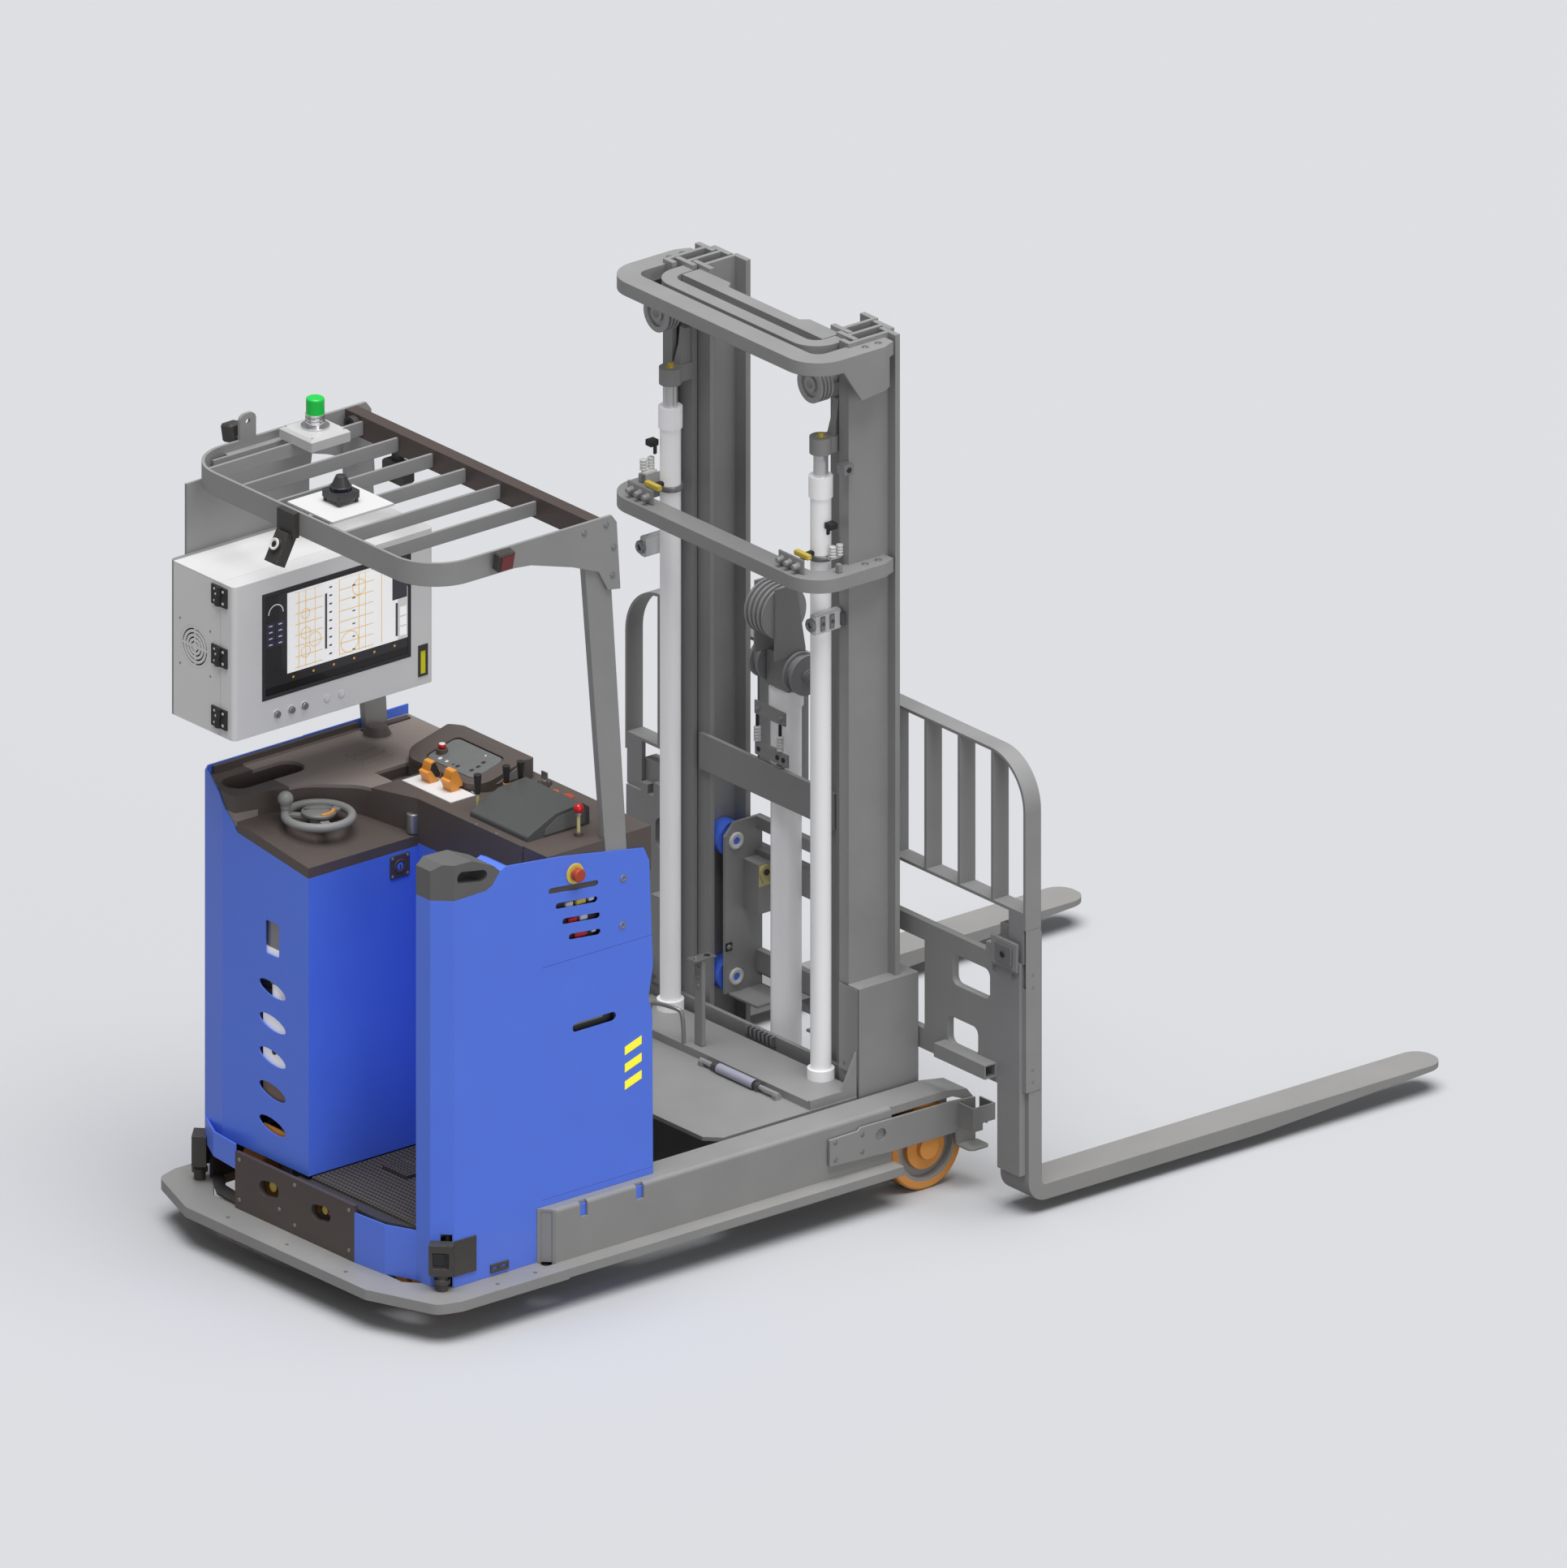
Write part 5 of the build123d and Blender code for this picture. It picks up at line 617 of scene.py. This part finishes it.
# %% The lock plate on the pod and the screws of the brown rear panel
LOCK_X, LOCK_Z = 451, 1100
with fitting("lock_plate", "truck", "brown_cover", brown, blue, black) as bm:
    plate(bm, [(LOCK_X + a, LOCK_Z + b) for a, b in rounded(66, 66, 5)], 23.5, 27)
    turned(bm, (LOCK_X, 23.5, LOCK_Z), RIGHT, [(12, 0), (20, 0), (20, 1.5), (17, 2.5), (12, 1)])
    stud(bm, (LOCK_X, 34, LOCK_Z), RIGHT, 12, 9.5, 10, 11, tone=1)
    sawn(bm, (LOCK_X - 1.5, LOCK_X + 1.5), (22, 24), (LOCK_Z - 7, LOCK_Z + 7), round_off=0.4, tone=2)
screws("lock_screws", "truck", RIGHT,
       [(LOCK_X + a, 22.8, LOCK_Z + b) for a in (-26, 26) for b in (-26, 26)], 3.6, 2.6, 12)
screws("rear_panel_screws", "truck", REAR,
       [(99.5, y, z) for y in (275, 40, -190) for z in (146, 262)] + [(99.5, 105, 172)], 4.5, 3, 8)
screws("bumper_bolts", "truck", UP,
       [(40, y, 119) for y in (-250, 0, 250)] + [(x, y, 119) for x in (300, 430) for y in (-575, 575)],
       3.5, 1.6)

# %% [markdown]
# ## The driver's console
# The console is a dark moulding with fittings let into it: a display under the hood, an armrest with a
# lighter side cheek and a knob-topped wheel with an orange mark on its hub. The display is a flat panel
# sunk in its recess. Its marks are raised by a fraction of a millimetre, so they catch the light as real
# keys do.

# %% Display panel and its keys
def on_display(across, along, height):
    """A point on the tilted display: along the truck, across it and above the panel."""
    tilt = math.atan2(42, 165)
    x = 732 + along * math.cos(tilt) - height * math.sin(tilt)
    return (x, 95 + across, 1321 + along * math.sin(tilt) + height * math.cos(tilt))


DISPLAY_UP = Vector((-42, 0, 165)).normalized()
display_grey = finish(
    "display_panel", rgb(116, 118, 118), rough=0.28, wear=0.0, grain=900, depth=0.02, coat=0.3)
with fitting("display", "truck", "dark_plastic", display_grey, black, white) as bm:
    corners = [bm.verts.new(at(*on_display(a, b, -7.6))) for a, b in rounded(202, 112, 20)]
    base = bm.faces.new(corners)
    grown = bmesh.ops.extrude_face_region(bm, geom=[base])["geom"]
    top = [one for one in grown if isinstance(one, bmesh.types.BMVert)]
    bmesh.ops.translate(bm, verts=top, vec=DISPLAY_UP * 0.0035)
    colour_new(bm, 0)
    for across, along, radius, tone in (
            (60, -38, 6, 2), (32, -38, 5, 2), (4, -38, 4, 1), (-14, -38, 6.5, 1),
            (-64, -30, 6.5, 1), (-66, -8, 6.5, 1), (-62, 14, 6.5, 1), (-40, 40, 3, 2)):
        turned(bm, on_display(across, along, -4.4), DISPLAY_UP,
               [(0, 0), (radius, 0), (radius, 0.5), (radius - 0.8, 0.9), (0, 0.9)], tone=tone, sides=20)

# %% Armrest cheek, wheel hub, caps and the blades of the rockers
DECK = 1278
WHEEL_X, WHEEL_Y = 303, 188
with fitting("armrest_cheek", "truck", "dark_plastic", grip_grey, black) as bm:
    plate(bm, [(600, 1284), (742, 1284), (742, 1322), (722, 1332), (650, 1326), (604, 1300)],
          -404.5, -402, burr=0.8)
    stud(bm, (722, -404.5, 1318), RIGHT, 7, 1.2, 5.5, 2, tone=1)
hub_grey = finish("hub_grey", rgb(128, 128, 126), rough=0.4, wear=0.05)
with fitting("wheel_hub", "steering_wheel", "dark_plastic", hub_grey, orange, black) as bm:
    turned(bm, (WHEEL_X, WHEEL_Y, 1237), UP,
           [(0, 0), (44, 0), (47, 2), (47, 8), (44, 11), (20, 14), (0, 14)], sides=48)
    arc = [(WHEEL_X + r * math.cos(a), WHEEL_Y + r * math.sin(a)) for r, turn in ((44, 1), (35, -1))
           for a in [math.radians(-118 + 86 * i / 14) for i in range(15)][::turn]]
    plate(bm, arc, 1247.5, 1251.5, axis="z", tone=1, burr=0.5)
    plate(bm, [(WHEEL_X + a, WHEEL_Y + b) for a, b in ((-30, 26), (-31, 24.5), (30, -26), (31, -24.5))],
          1249, 1251.3, axis="z", tone=2, burr=0.2)
with fitting("console_details", "truck", "dark_plastic", black, white, steel, brown) as bm:
    turned(bm, (845, -105, DECK), UP, [(6.5, 0), (21, 0), (21, 2), (17, 4), (8, 4), (6.5, 3)])
    for y in (-215, -300):
        stud(bm, (520, y, DECK), UP, 4, 1, 3, 1.6, tone=2, sides=16)
    # The two small white slivers behind the hood are painted highlights.
    plate(bm, [(652, -35), (656, -36), (664, -12), (660, -11)], DECK, DECK + 1.2, axis="z", tone=1, burr=0.2)
    plate(bm, [(652, 200), (664, 196), (668, 205), (656, 209)], DECK, DECK + 1.2, axis="z", tone=1, burr=0.2)
    sawn(bm, (700, 860), (480, 500), (DECK, DECK + 6), tone=3)
with fitting("handle_collar", "release_handle", "steel", steel) as bm:
    turned(bm, (682, -449, 1336), UP, [(5.1, 0), (8.5, 0), (8.5, 7), (7.5, 8.5), (5.1, 8.5)], sides=24)
blade = [(598, 1290), (596, 1300), (603, 1306), (600, 1316), (607, 1338), (620, 1341), (626, 1330),
    (640, 1300), (640, 1290)]
with fitting("rocker_tips", "rocker_1", "orange_plastic", orange, black) as bm:
    plate(bm, blade, 84, 117, burr=1.5)
    plate(bm, [(x + (620 - x) * 0.12, z + (1312 - z) * 0.1) for x, z in blade], 82.5, 84, tone=1, burr=0.3)
with fitting("rocker_tips_2", "rocker_2", "orange_plastic", orange) as bm:
    plate(bm, [(x + 5, z) for x, z in blade], -2, 32, burr=1.5)
with fitting("lever_rings", "control_lever_1", "orange_plastic", orange) as bm:
    turned(bm, (684, -140, 1326), UP, [(7.6, 0), (8.6, 1), (8.6, 6), (7.8, 7), (7.6, 7)], sides=24)

# %% [markdown]
# ## What the screen shows
# The screen is on: a pale plan of a warehouse with the truck's routes, a dark bar of small tiles beside it
# and a round gauge. Nothing on it can be read, because only its pattern belongs to the truck. A picture
# file could fill it, but a sheet of glass whose colours are sums of bands and rings needs no file and
# stays sharp.

# %% The screen
def screen_colours(m):
    x, z = m.x, m.z
    plan = m.inside(x=(222, 636), z=(1652, 1884))
    lines = any_of([abs(x - middle) < half for middle, half in
                    ((262, 1.2), (286, 1.2), (318, 0.9), (402, 1.2), (470, 1.2), (492, 0.9), (548, 1.2))])
    rungs = (((z - 1660) % 31) < 2.2) & (m.inside(x=(250, 345)) | m.inside(x=(402, 520)))
    bends = any_of([abs(m.ring(x, z, (across, up)) - radius) < half for across, up, radius, half in
                    ((286, 1700, 16, 1.1), (286, 1754, 16, 1.1), (318, 1728, 20, 1.1), (438, 1690, 30, 1.2),
                     (470, 1840, 22, 1.2), (286, 1810, 14, 1.1))])
    routes = (lines | rungs | bends) & m.inside(z=(1658, 1878)) & m.inside(x=(236, 580))
    shelves = any_of([(abs(x - middle) < 5) & (((z - start) % pitch) < gap) for middle, start, pitch, gap in
                      ((372, 1670, 24, 5), (452, 1700, 37, 4))])
    walls = (m.inside(x=(352, 360), z=(1690, 1850)) | m.inside(x=(596, 604), z=(1664, 1760)) | shelves) & plan
    across_tile, up_tile = (x - 150) % 33, (z - 1742) % 18
    tiles = m.inside(x=(150, 216), z=(1742, 1812)) & (across_tile < 29) & (up_tile < 15)
    marks = m.inside(x=(155, 211), z=(1746, 1812)) & m.between(across_tile, 9, 21) & (abs(up_tile - 7) < 1.6)
    layers = (
        (m.inside(z=(1603, 1626)), (6, 6, 8)), (plan, (246, 246, 246)),
        (m.inside(x=(604, 640), z=(1652, 1800)), (206, 206, 206)),
        (m.inside(x=(611, 634), z=(1662, 1745)) & (((z - 1662) % 29) < 25), (250, 250, 250)),
        (routes, (232, 186, 84)), (walls, (70, 70, 76)),
        (m.inside(x=(585, 636), z=(1770, 1884)) & plan, (50, 50, 60)),
        (tiles, (46, 44, 66)), (marks, (190, 190, 200)),
        ((abs(m.ring(x, z, (183, 1836)) - 25) < 1.6) & (z > 1836), (200, 200, 206)),
        ((abs(z - 1638) < 3) & (((x - 240) % 70) < 6) & (x > 236), (214, 160, 60)))
    return [(mask, rgb(*colour), 0.2) for mask, colour in layers]


screen_finish = finish(
    "screen", rgb(34, 34, 37), rough=0.18, coat=0.4, glow=0.35, zones=screen_colours, **SMOOTH)
with fitting("screen_glass", "cabinet_door", "dark_plastic", screen_finish) as bm:
    plate(bm, [(392.5 + a, 1746.5 + b) for a, b in rounded(491, 285, 3)], 221.6, 223.0)

# %% [markdown]
# ## The guard's eyes and lamps
# The guard carries a camera at the rear, another in front and a lamp at its side. Each housing is a CAD
# solid already. What makes it a camera is the glass: a dark dome in a bright ring. Both are turned on the
# lathe, because a painted ring would have no bright edge. The corner scanners get dark windows, and the
# bolts of both side plates come from the screw tree.

# %% Lens rings
glass = finish("dark_glass", rgb(20, 22, 30), rough=0.08, coat=0.8, **SMOOTH)
lens_red = finish("lens_red", rgb(122, 26, 30), rough=0.15, wear=0.0, dust=0.0, coat=0.6)
rear_way = Vector((-math.cos(math.radians(28)), 0, math.sin(math.radians(28))))
with fitting("rear_camera_lens", "truck", "dark_plastic", white, glass) as bm:
    turned(bm, (41, 54, 2126), rear_way, [(9, 0), (17, 0), (17, 2), (15, 3.5), (9, 2)])
    turned(bm, (41, 54, 2126), rear_way, [(0, 0), (9, 0), (8, 3), (5, 4.6), (0, 5.2)], tone=1)
lean = Matrix.Rotation(math.radians(12), 4, "X")
with fitting("side_lamp_lens", "truck", "dark_plastic", lens_red) as bm:
    sawn(bm, (317, 361), (-570.5, -567.5), (2169, 2213), round_off=1.2, turn=lean)
with fitting("front_camera_lens", "truck", "dark_plastic", steel, glass) as bm:
    turned(bm, (654, 316, 2092), REAR, [(10, 0), (17, 0), (17, 1.5), (15, 3), (10, 2)])
    turned(bm, (654, 316, 2092), REAR, [(0, 0), (10, 0), (8, 2.6), (4, 3.8), (0, 4.2)], tone=1)
with fitting("scanner_windows", "truck", "dark_plastic", glass) as bm:
    for side in (-1, 1):
        slant = Matrix.Rotation(math.radians(45 * side), 4, "Z")
        sawn(bm, (130, 166), (side * 511 - 3, side * 511 + 3), (190, 226), turn=slant)
with fitting("stack_screws", "truck", "steel", steel) as bm:
    for x, y in ((424, 364), (424, 477), (535, 364), (535, 477)):
        stud(bm, (x, y, 2233), UP, 4, 2, 3, 3, sides=16)
for name, side in (("guard_bolts", -1), ("guard_bolts_left", 1)):
    screws(name, "truck", (0, side, 0),
           [(x, side * 526, z) for x, z in ((716, 2190), (742, 2120), (738, 2040), (640, 2186))], 6, 3)

# %% [markdown]
# ## Plumbing on the lift cylinders
# The two lift cylinders stand beside the mast, on the part that reaches forward. Each has a small manifold
# with three pipe ends, a clamp, a yellow stop block, two ribbed filters and a long valve. Both sides are
# mirror images but for where the filters and the sensor beside them sit, so one function makes both and is
# told the side and those places.

# %% One side of the cylinder plumbing
def ribbed(bm, foot, way, radius, length, ribs, tone=0):
    """A filter body with rings along it."""
    profile = [(0, 0), (radius * 0.7, 0)]
    step = length / ribs
    for i in range(ribs):
        profile += [(radius * 0.86, i * step + step * 0.15), (radius, i * step + step * 0.3),
                    (radius, i * step + step * 0.7), (radius * 0.86, i * step + step * 0.85)]
    turned(bm, foot, way, profile + [(radius * 0.6, length), (0, length)], tone, sides=20)


def cylinder_plumbing(side, name, filter_x, filter_z, sensor_x, sensor_z):
    out = (0, side, 0)

    def span(low, high):
        return side * low, side * high

    with fitting("manifold_" + name, "reach", "light_metal", steel, grey, black, yellow) as bm:
        sawn(bm, (1520, 1526), span(267, 373), (1791.2, 1833), tone=1)
        for y in (285, 318, 352):
            turned(bm, (1520, side * y, 1812), REAR,
                   [(0, 0), (10, 0), (10, 5), (8, 6), (8, 18), (6.5, 20), (0, 20)], tone=1, sides=24)
        sawn(bm, (1526, 1592), span(314, 323), (1806, 1815))
        sawn(bm, (1556, 1572), span(288, 347), (1815, 1829), tone=3)
        sawn(bm, (1572, 1600), span(312, 326), (1812, 1826), tone=2)
        sawn(bm, (1600, 1614), span(410, 425), (1791.2, 1816), tone=1)
        turned(bm, (LIFT_X, side * LIFT_Y, 1798), UP,
               [(28.6, 0), (34, 0), (35, 2), (35, 14), (34, 16), (28.6, 16)], sides=40)
        sawn(bm, (1604, 1612), span(300, 338), (1800, 1812), tone=2)
    with fitting("filters_" + name, "reach", "white_paint", white, black) as bm:
        for x in filter_x:
            ribbed(bm, (x, side * 365, filter_z - 16), UP, 10, 34, 4)
        sawn(bm, (min(filter_x) - 8, max(filter_x) + 8), span(347, 365), (filter_z - 24, filter_z - 16))
        sawn(bm, (sensor_x - 14, sensor_x + 14), span(349, 374), (sensor_z - 9, sensor_z + 9), tone=1)
        sawn(bm, (sensor_x - 5, sensor_x + 5), span(345, 352), (sensor_z - 30, sensor_z + 4), tone=1)
    with fitting("long_valve_" + name, "reach", "light_metal", valve_grey, steel, grip_grey) as bm:
        sawn(bm, (1560, 1655), span(349, 372), (1604, 1662), round_off=4)
        turned(bm, (1560, side * 360.5, 1633), REAR,
               [(8, 0), (19, 0), (19, 7), (16, 10), (9, 10), (8, 8)], tone=1)
        for x in (1580, 1612):
            sawn(bm, (x, x + 16), span(372, 376), (1612, 1654), tone=1)
            stud(bm, (x + 8, side * 376, 1633), out, 5, 3, 4, 4, tone=2, sides=20)
        sawn(bm, (1648, 1660.5), span(345, 381), (1614, 1652), tone=2)
        sawn(bm, (1620, 1634), span(338, 349), (1612, 1654), tone=1)


cylinder_plumbing(-1, "right", (1628, 1653), 1828, 1626, 1904)
cylinder_plumbing(1, "left", (1569, 1595), 1866, 1596, 1926)
with fitting("height_sensor", "reach", "light_metal", steel, black) as bm:
    sawn(bm, (1624, 1659.5), (-418, -386), (2062, 2093), round_off=2.5)
    stud(bm, (1642, -418, 2078), RIGHT, 8, 1.6, 6.5, 2.4, tone=1)

# %% The brackets of the middle cylinder
with fitting("middle_brackets", "inner", "light_metal", white, grey, black) as bm:
    sawn(bm, (1698, 1704), (-77, 54), (1213, 1253), tone=1)
    sawn(bm, (1704, 1726), (-12, 12), (1222, 1244), tone=1)
    sawn(bm, (1698, 1703), (-90, 52), (1097, 1135), tone=1)
    sawn(bm, (1703, 1726), (-12, 12), (1106, 1126), tone=1)
    for y in (-70, -45, 35):
        stud(bm, (1698, y, 1116), REAR, 7, 2, 5.5, 3, tone=2)
    for y in (-60, 38):
        stud(bm, (1698, y, 1233), REAR, 7, 5, 5.5, 6, tone=1)
    for y in (-53, 44):
        ribbed(bm, (1701, y, 1135.5), UP, 10, 44, 5)
        sawn(bm, (1697, 1705), (y - 4, y + 4), (1179, 1213.5), tone=2)
    sawn(bm, (1698, 1722), (-60, -26), (1085.2, 1089), tone=1)
    stud(bm, (1709, -43, 1089), UP, 7, 6, 5.5, 7, tone=1, sides=6)

# %% [markdown]
# ## Hubs on the carriage
# Inside the carriage the ends of the roller shafts show as pale rings. A zone of colour would leave them
# flat, so they come off the lathe tool above, and a nut on a small block sits between them.

# %% Carriage hubs
with fitting("carriage_hubs", "carriage", "white_paint", white, black, steel, blue) as bm:
    for side in (-1, 1):
        inward = (0, -side, 0)
        for z in (380, 772):
            turned(bm, (1774.5, side * 225, z), inward,
                   [(11, 0), (24, 0), (24, 4), (21, 6.5), (13, 6.5), (11, 5)])
            stud(bm, (1774.5, side * 225, z), inward, 11, 2, 6, 2.6, tone=3)
        stud(bm, (1749, side * 225, 471), inward, 8, 5, 6.5, 6, tone=2, sides=6)
        sawn(bm, (1738, 1761), (side * 222.5, side * 225), (459, 483), tone=1)

# %% [markdown]
# ## The reach base
# On the deck between the legs stand a bent return pipe and a post that guides the hoses, with a comb of
# clips in front of the mast. The pipe is a tube along a smooth curve, because a lathe can't bend it. The
# clips are copies of one another along a line, which Geometry Nodes do with a Mesh Line and Instance on
# Points. The same tree makes the low ribs on the driver's platform.

# %% A comb of clips by Geometry Nodes
CLIP_TREE, CLIP_INPUTS, _ = copying_tree(
    "clips",
    {"First clip": "NodeSocketVector", "Step": "NodeSocketVector", "Clip size": "NodeSocketVector",
     "Clips": "NodeSocketInt", "Finish": "NodeSocketMaterial"},
    {"line": "GeometryNodeMeshLine", "clip": "GeometryNodeMeshCube"},
    ("given.Clips > line.Count", "given.First clip > line.Start Location", "given.Step > line.Offset",
     "given.Clip size > clip.Size", "line.Mesh > place.Points", "clip.Mesh > place.Instance"))


def clip_row(name, body, start, step, count, size, material):
    """A row of deburred blocks; step and size are in metres."""
    piece = copies(name, bpy.data.meshes.new(name), CLIP_TREE, CLIP_INPUTS, {
        "First clip": tuple(at(*start)), "Step": step, "Clip size": size, "Clips": count, "Finish": material})
    rounding = piece.modifiers.new("deburr", "BEVEL")
    rounding.width, rounding.segments = 0.0008, 2
    make_plain(piece)
    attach(piece, body)
    print(name, "-", count, "copies")


clip_row("hose_comb", "reach",
         (1672, -60, 306), (0, 0.0174, 0), 7, (0.020, 0.007, 0.030), steel)
clip_row("platform_ribs", "truck",
         (470, -455, 271.5), (0, 0.034, 0), 13, (0.060, 0.007, 0.003), brown)

# %% Pipe, post, foot covers and loop bolts
bent_pipe("return_pipe", "reach", steel,
          [(1464, 215, 296), (1464, 215, 384), (1472, 186, 392), (1486, 126, 392), (1495, 103, 384),
              (1495, 103, 296)], 6)
with fitting("hose_post", "reach", "light_metal", grey, steel, black) as bm:
    sawn(bm, (1514, 1528), (50, 82), (296, 545))
    for drop in (0, 26, 52):
        stud(bm, (1514, 66, 520 - drop), REAR, 6, 2, 4.5, 3, tone=1, sides=20)
    sawn(bm, (1490, 1565), (46, 86), (545, 549), tone=1)
    stud(bm, (1545, 66, 549), UP, 9, 1.2, 7, 1.8, tone=2)
    stud(bm, (1505, 66, 549), UP, 6, 4, 5, 5, tone=1, sides=6)
with fitting("foot_covers", "reach", "grey_paint", grey) as bm:
    for side in (-1, 1):
        sawn(bm, (1653.4, 1655.8), (side * 360, side * 440), (330, 578), round_off=0.8)
screws("foot_cover_screws", "reach", REAR,
       [(1653, side * y, 352) for side in (-1, 1) for y in (378, 422)], 5, 4)
for name, z in (("loop_bolts", 2418), ("loop_bolts_low", 1791)):
    screws(name, "reach", UP, [(x, y, z) for x in (1700, 1745) for y in (-415, 415)], 7, 5)

# %% [markdown]
# ## Legs
# Each leg's nose carries a side plate that four socket screws hold. They could be modelled one by one, but
# the screw tree sets all four from their points, and a loop does both legs.

# %% Screws on the legs
for name, side in (("right", -1), ("left", 1)):
    screws("side_plate_screws_" + name, "truck", (0, side, 0),
           [(x, side * 570, z) for x in (1471, 1564) for z in (226, 176)], 5, 3)

# %% [markdown]
# ## What shows through the openings
# Through the vents of the pod one sees the oil tank and the pump, and through the slots of the side and
# rear panels the fittings behind them. Only their colours and rough shapes reach the eye, so blocks and
# turned shapes will do, but without them every opening would be a black hole.

# %% Tank, pump and the parts behind the slots
# The tank's and the pump's finishes glow: painted light that makes them bright inside the shaded pod.
with fitting("oil_tank", "truck", "white_paint", tank_white, hose_brown, black, steel, orange) as bm:
    for low, high, tone in ((852, 888, 0), (640, 720, 0), (545, 612, 0), (455, 500, 1), (350, 372, 4)):
        sawn(bm, (146, 152), (132, 232), (low, high), tone=tone)
    sawn(bm, (146, 152), (132, 232), (890, 972), tone=3)
    sawn(bm, (143, 146), (150, 196), (786, 800), tone=1)
    turned(bm, (188, 178, 560), UP,
           [(0, 0), (38, 0), (41, 3), (41, 300), (38, 304), (16, 306), (16, 430), (0, 430)], sides=40)
    turned(bm, (188, 178, 446), UP,
           [(0, 0), (34, 0), (36, 4), (36, 60), (30, 64), (30, 113), (0, 113)], tone=1, sides=40)
    stud(bm, (146.5, 182, 592), REAR, 9, 3, 7, 4, tone=2)
    turned(bm, (188, 178, 866), UP,
           [(16.5, 0), (32, 0), (34, 3), (34, 52), (32, 56), (24, 60), (24, 96), (16.5, 98)],
           tone=3, sides=40)
with fitting("slot_parts", "truck", "light_metal", steel, brown, white, yellow, red) as bm:
    sawn(bm, (560, 716), (-512, -506), (764, 830))
    sawn(bm, (566, 612), (-515, -512), (776, 792), tone=1)
    sawn(bm, (572, 590), (-516.5, -512), (778, 786), tone=2)
    stud(bm, (124, 160, 214), REAR, 15, 2, 9, 4, tone=3)
    stud(bm, (124, -62, 216), REAR, 12, 3, 10, 4, tone=3)
    sawn(bm, (122, 126), (-86, -74), (206, 216), tone=4)
with fitting("leg_notch_plates", "truck", "blue_paint", blue) as bm:
    for x in (612, 806):
        for side in (-1, 1):
            sawn(bm, (x - 18, x + 18), (side * 545, side * 549.5), (222, 264.5))
with fitting("hood_window", "truck", "light_metal", steel) as bm:
    plate(bm, [(712, 1295), (812, 1292), (800, 1330)], -61, -60)
    sawn(bm, (656.5, 659.6), (168, 242), (1243, 1275), round_off=0.8)
with fitting("corner_post", "truck", "light_metal", steel) as bm:
    turned(bm, (512, 44, 1176), UP, [(0, 0), (17, 0), (18, 2), (18, 54), (16, 56), (0, 56)], sides=40)
with fitting("red_button_cap", "red_button", "white_paint", white) as bm:
    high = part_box("red_button")[1]
    stud(bm, (719, 175, high[2] * 1000 - 1), UP, 9, 2, 7.5, 3, sides=28)

# %% Rings round the cabinet's buttons, hinge screws and rivets
with fitting("button_rings", "cabinet_door", "white_paint", white) as bm:
    for x in (186, 236, 281):
        turned(bm, (x, 222, 1545), RIGHT, [(10.4, 0), (13, 0), (13, 0.8), (12, 2), (10.4, 2)], sides=36)
    for x in (360, 410):
        turned(bm, (x, 220.5, 1545), RIGHT, [(0, 0), (9.5, 0), (9.2, 0.5), (0, 0.9)], sides=36)
screws("hinge_screws_box", "truck", REAR,
       [(31.6, y, z + up) for z in HINGES_Z for y, up in ((298, -17), (298, 17), (293, 3))],
       2.6, 2, 12, white)
screws("hinge_screws_door", "cabinet_door", REAR,
       [(31.6, 262, z + up) for z in HINGES_Z for up in (-17, 17)], 3, 2.4, 12, white)
screws("cabinet_rivets", "truck", REAR,
       [(38, y, z) for z in (1790, 1660) for y in (322, 450)], 2.4, 2, 12, grey)

# %% [markdown]
# ## The legs' closed ends and the backrest's post
# The straddle legs are hollow. Their slanted rear corners are closed with welded plates, as one sees
# beside the pod. The backrest's side post runs on down past the forks' bar, with a folded edge and four
# screws, and a small housing with a latch stands beside it. On the real truck all of it is cut and folded
# from sheet, so the plate tool and the saw make it here.

# %% Closing plates of the legs
with fitting("leg_ends", "truck", "grey_paint", grey) as bm:
    for side in (-1, 1):
        corner = [(480, side * 521.5), (517.5, side * 557.7), (518.6, side * 556.2), (481.4, side * 520.2)]
        plate(bm, corner if side > 0 else corner[::-1], 120, 271, axis="z", burr=0.3)

# %% Lower part of the backrest's post, with its screws and the latch housing
with fitting("backrest_post", "fork_carriage", "grey_paint", grey, steel, black) as bm:
    plate(bm, [(1877, 361), (1929, 361), (1929, 829), (1877, 829)], -879.6, -878.4, burr=0.2)
    sawn(bm, (1877, 1880), (-878.4, -861), (361, 660), round_off=0.6)
    sawn(bm, (1858, 1865.6), (-866, -752), (706, 792), round_off=3)
    sawn(bm, (1852, 1858), (-846, -776), (722, 776), tone=1, round_off=2)
    stud(bm, (1852, -811, 749), REAR, 9, 3, 6, 4, tone=2, sides=28)
screws("post_screws", "fork_carriage", RIGHT, [(1901, -878.9, z) for z in (697, 661, 423, 388)], 5, 2)
screws("bar_screws", "fork_carriage", REAR, [(1865.6, y, 690) for y in (-760, -840)], 5, 3)
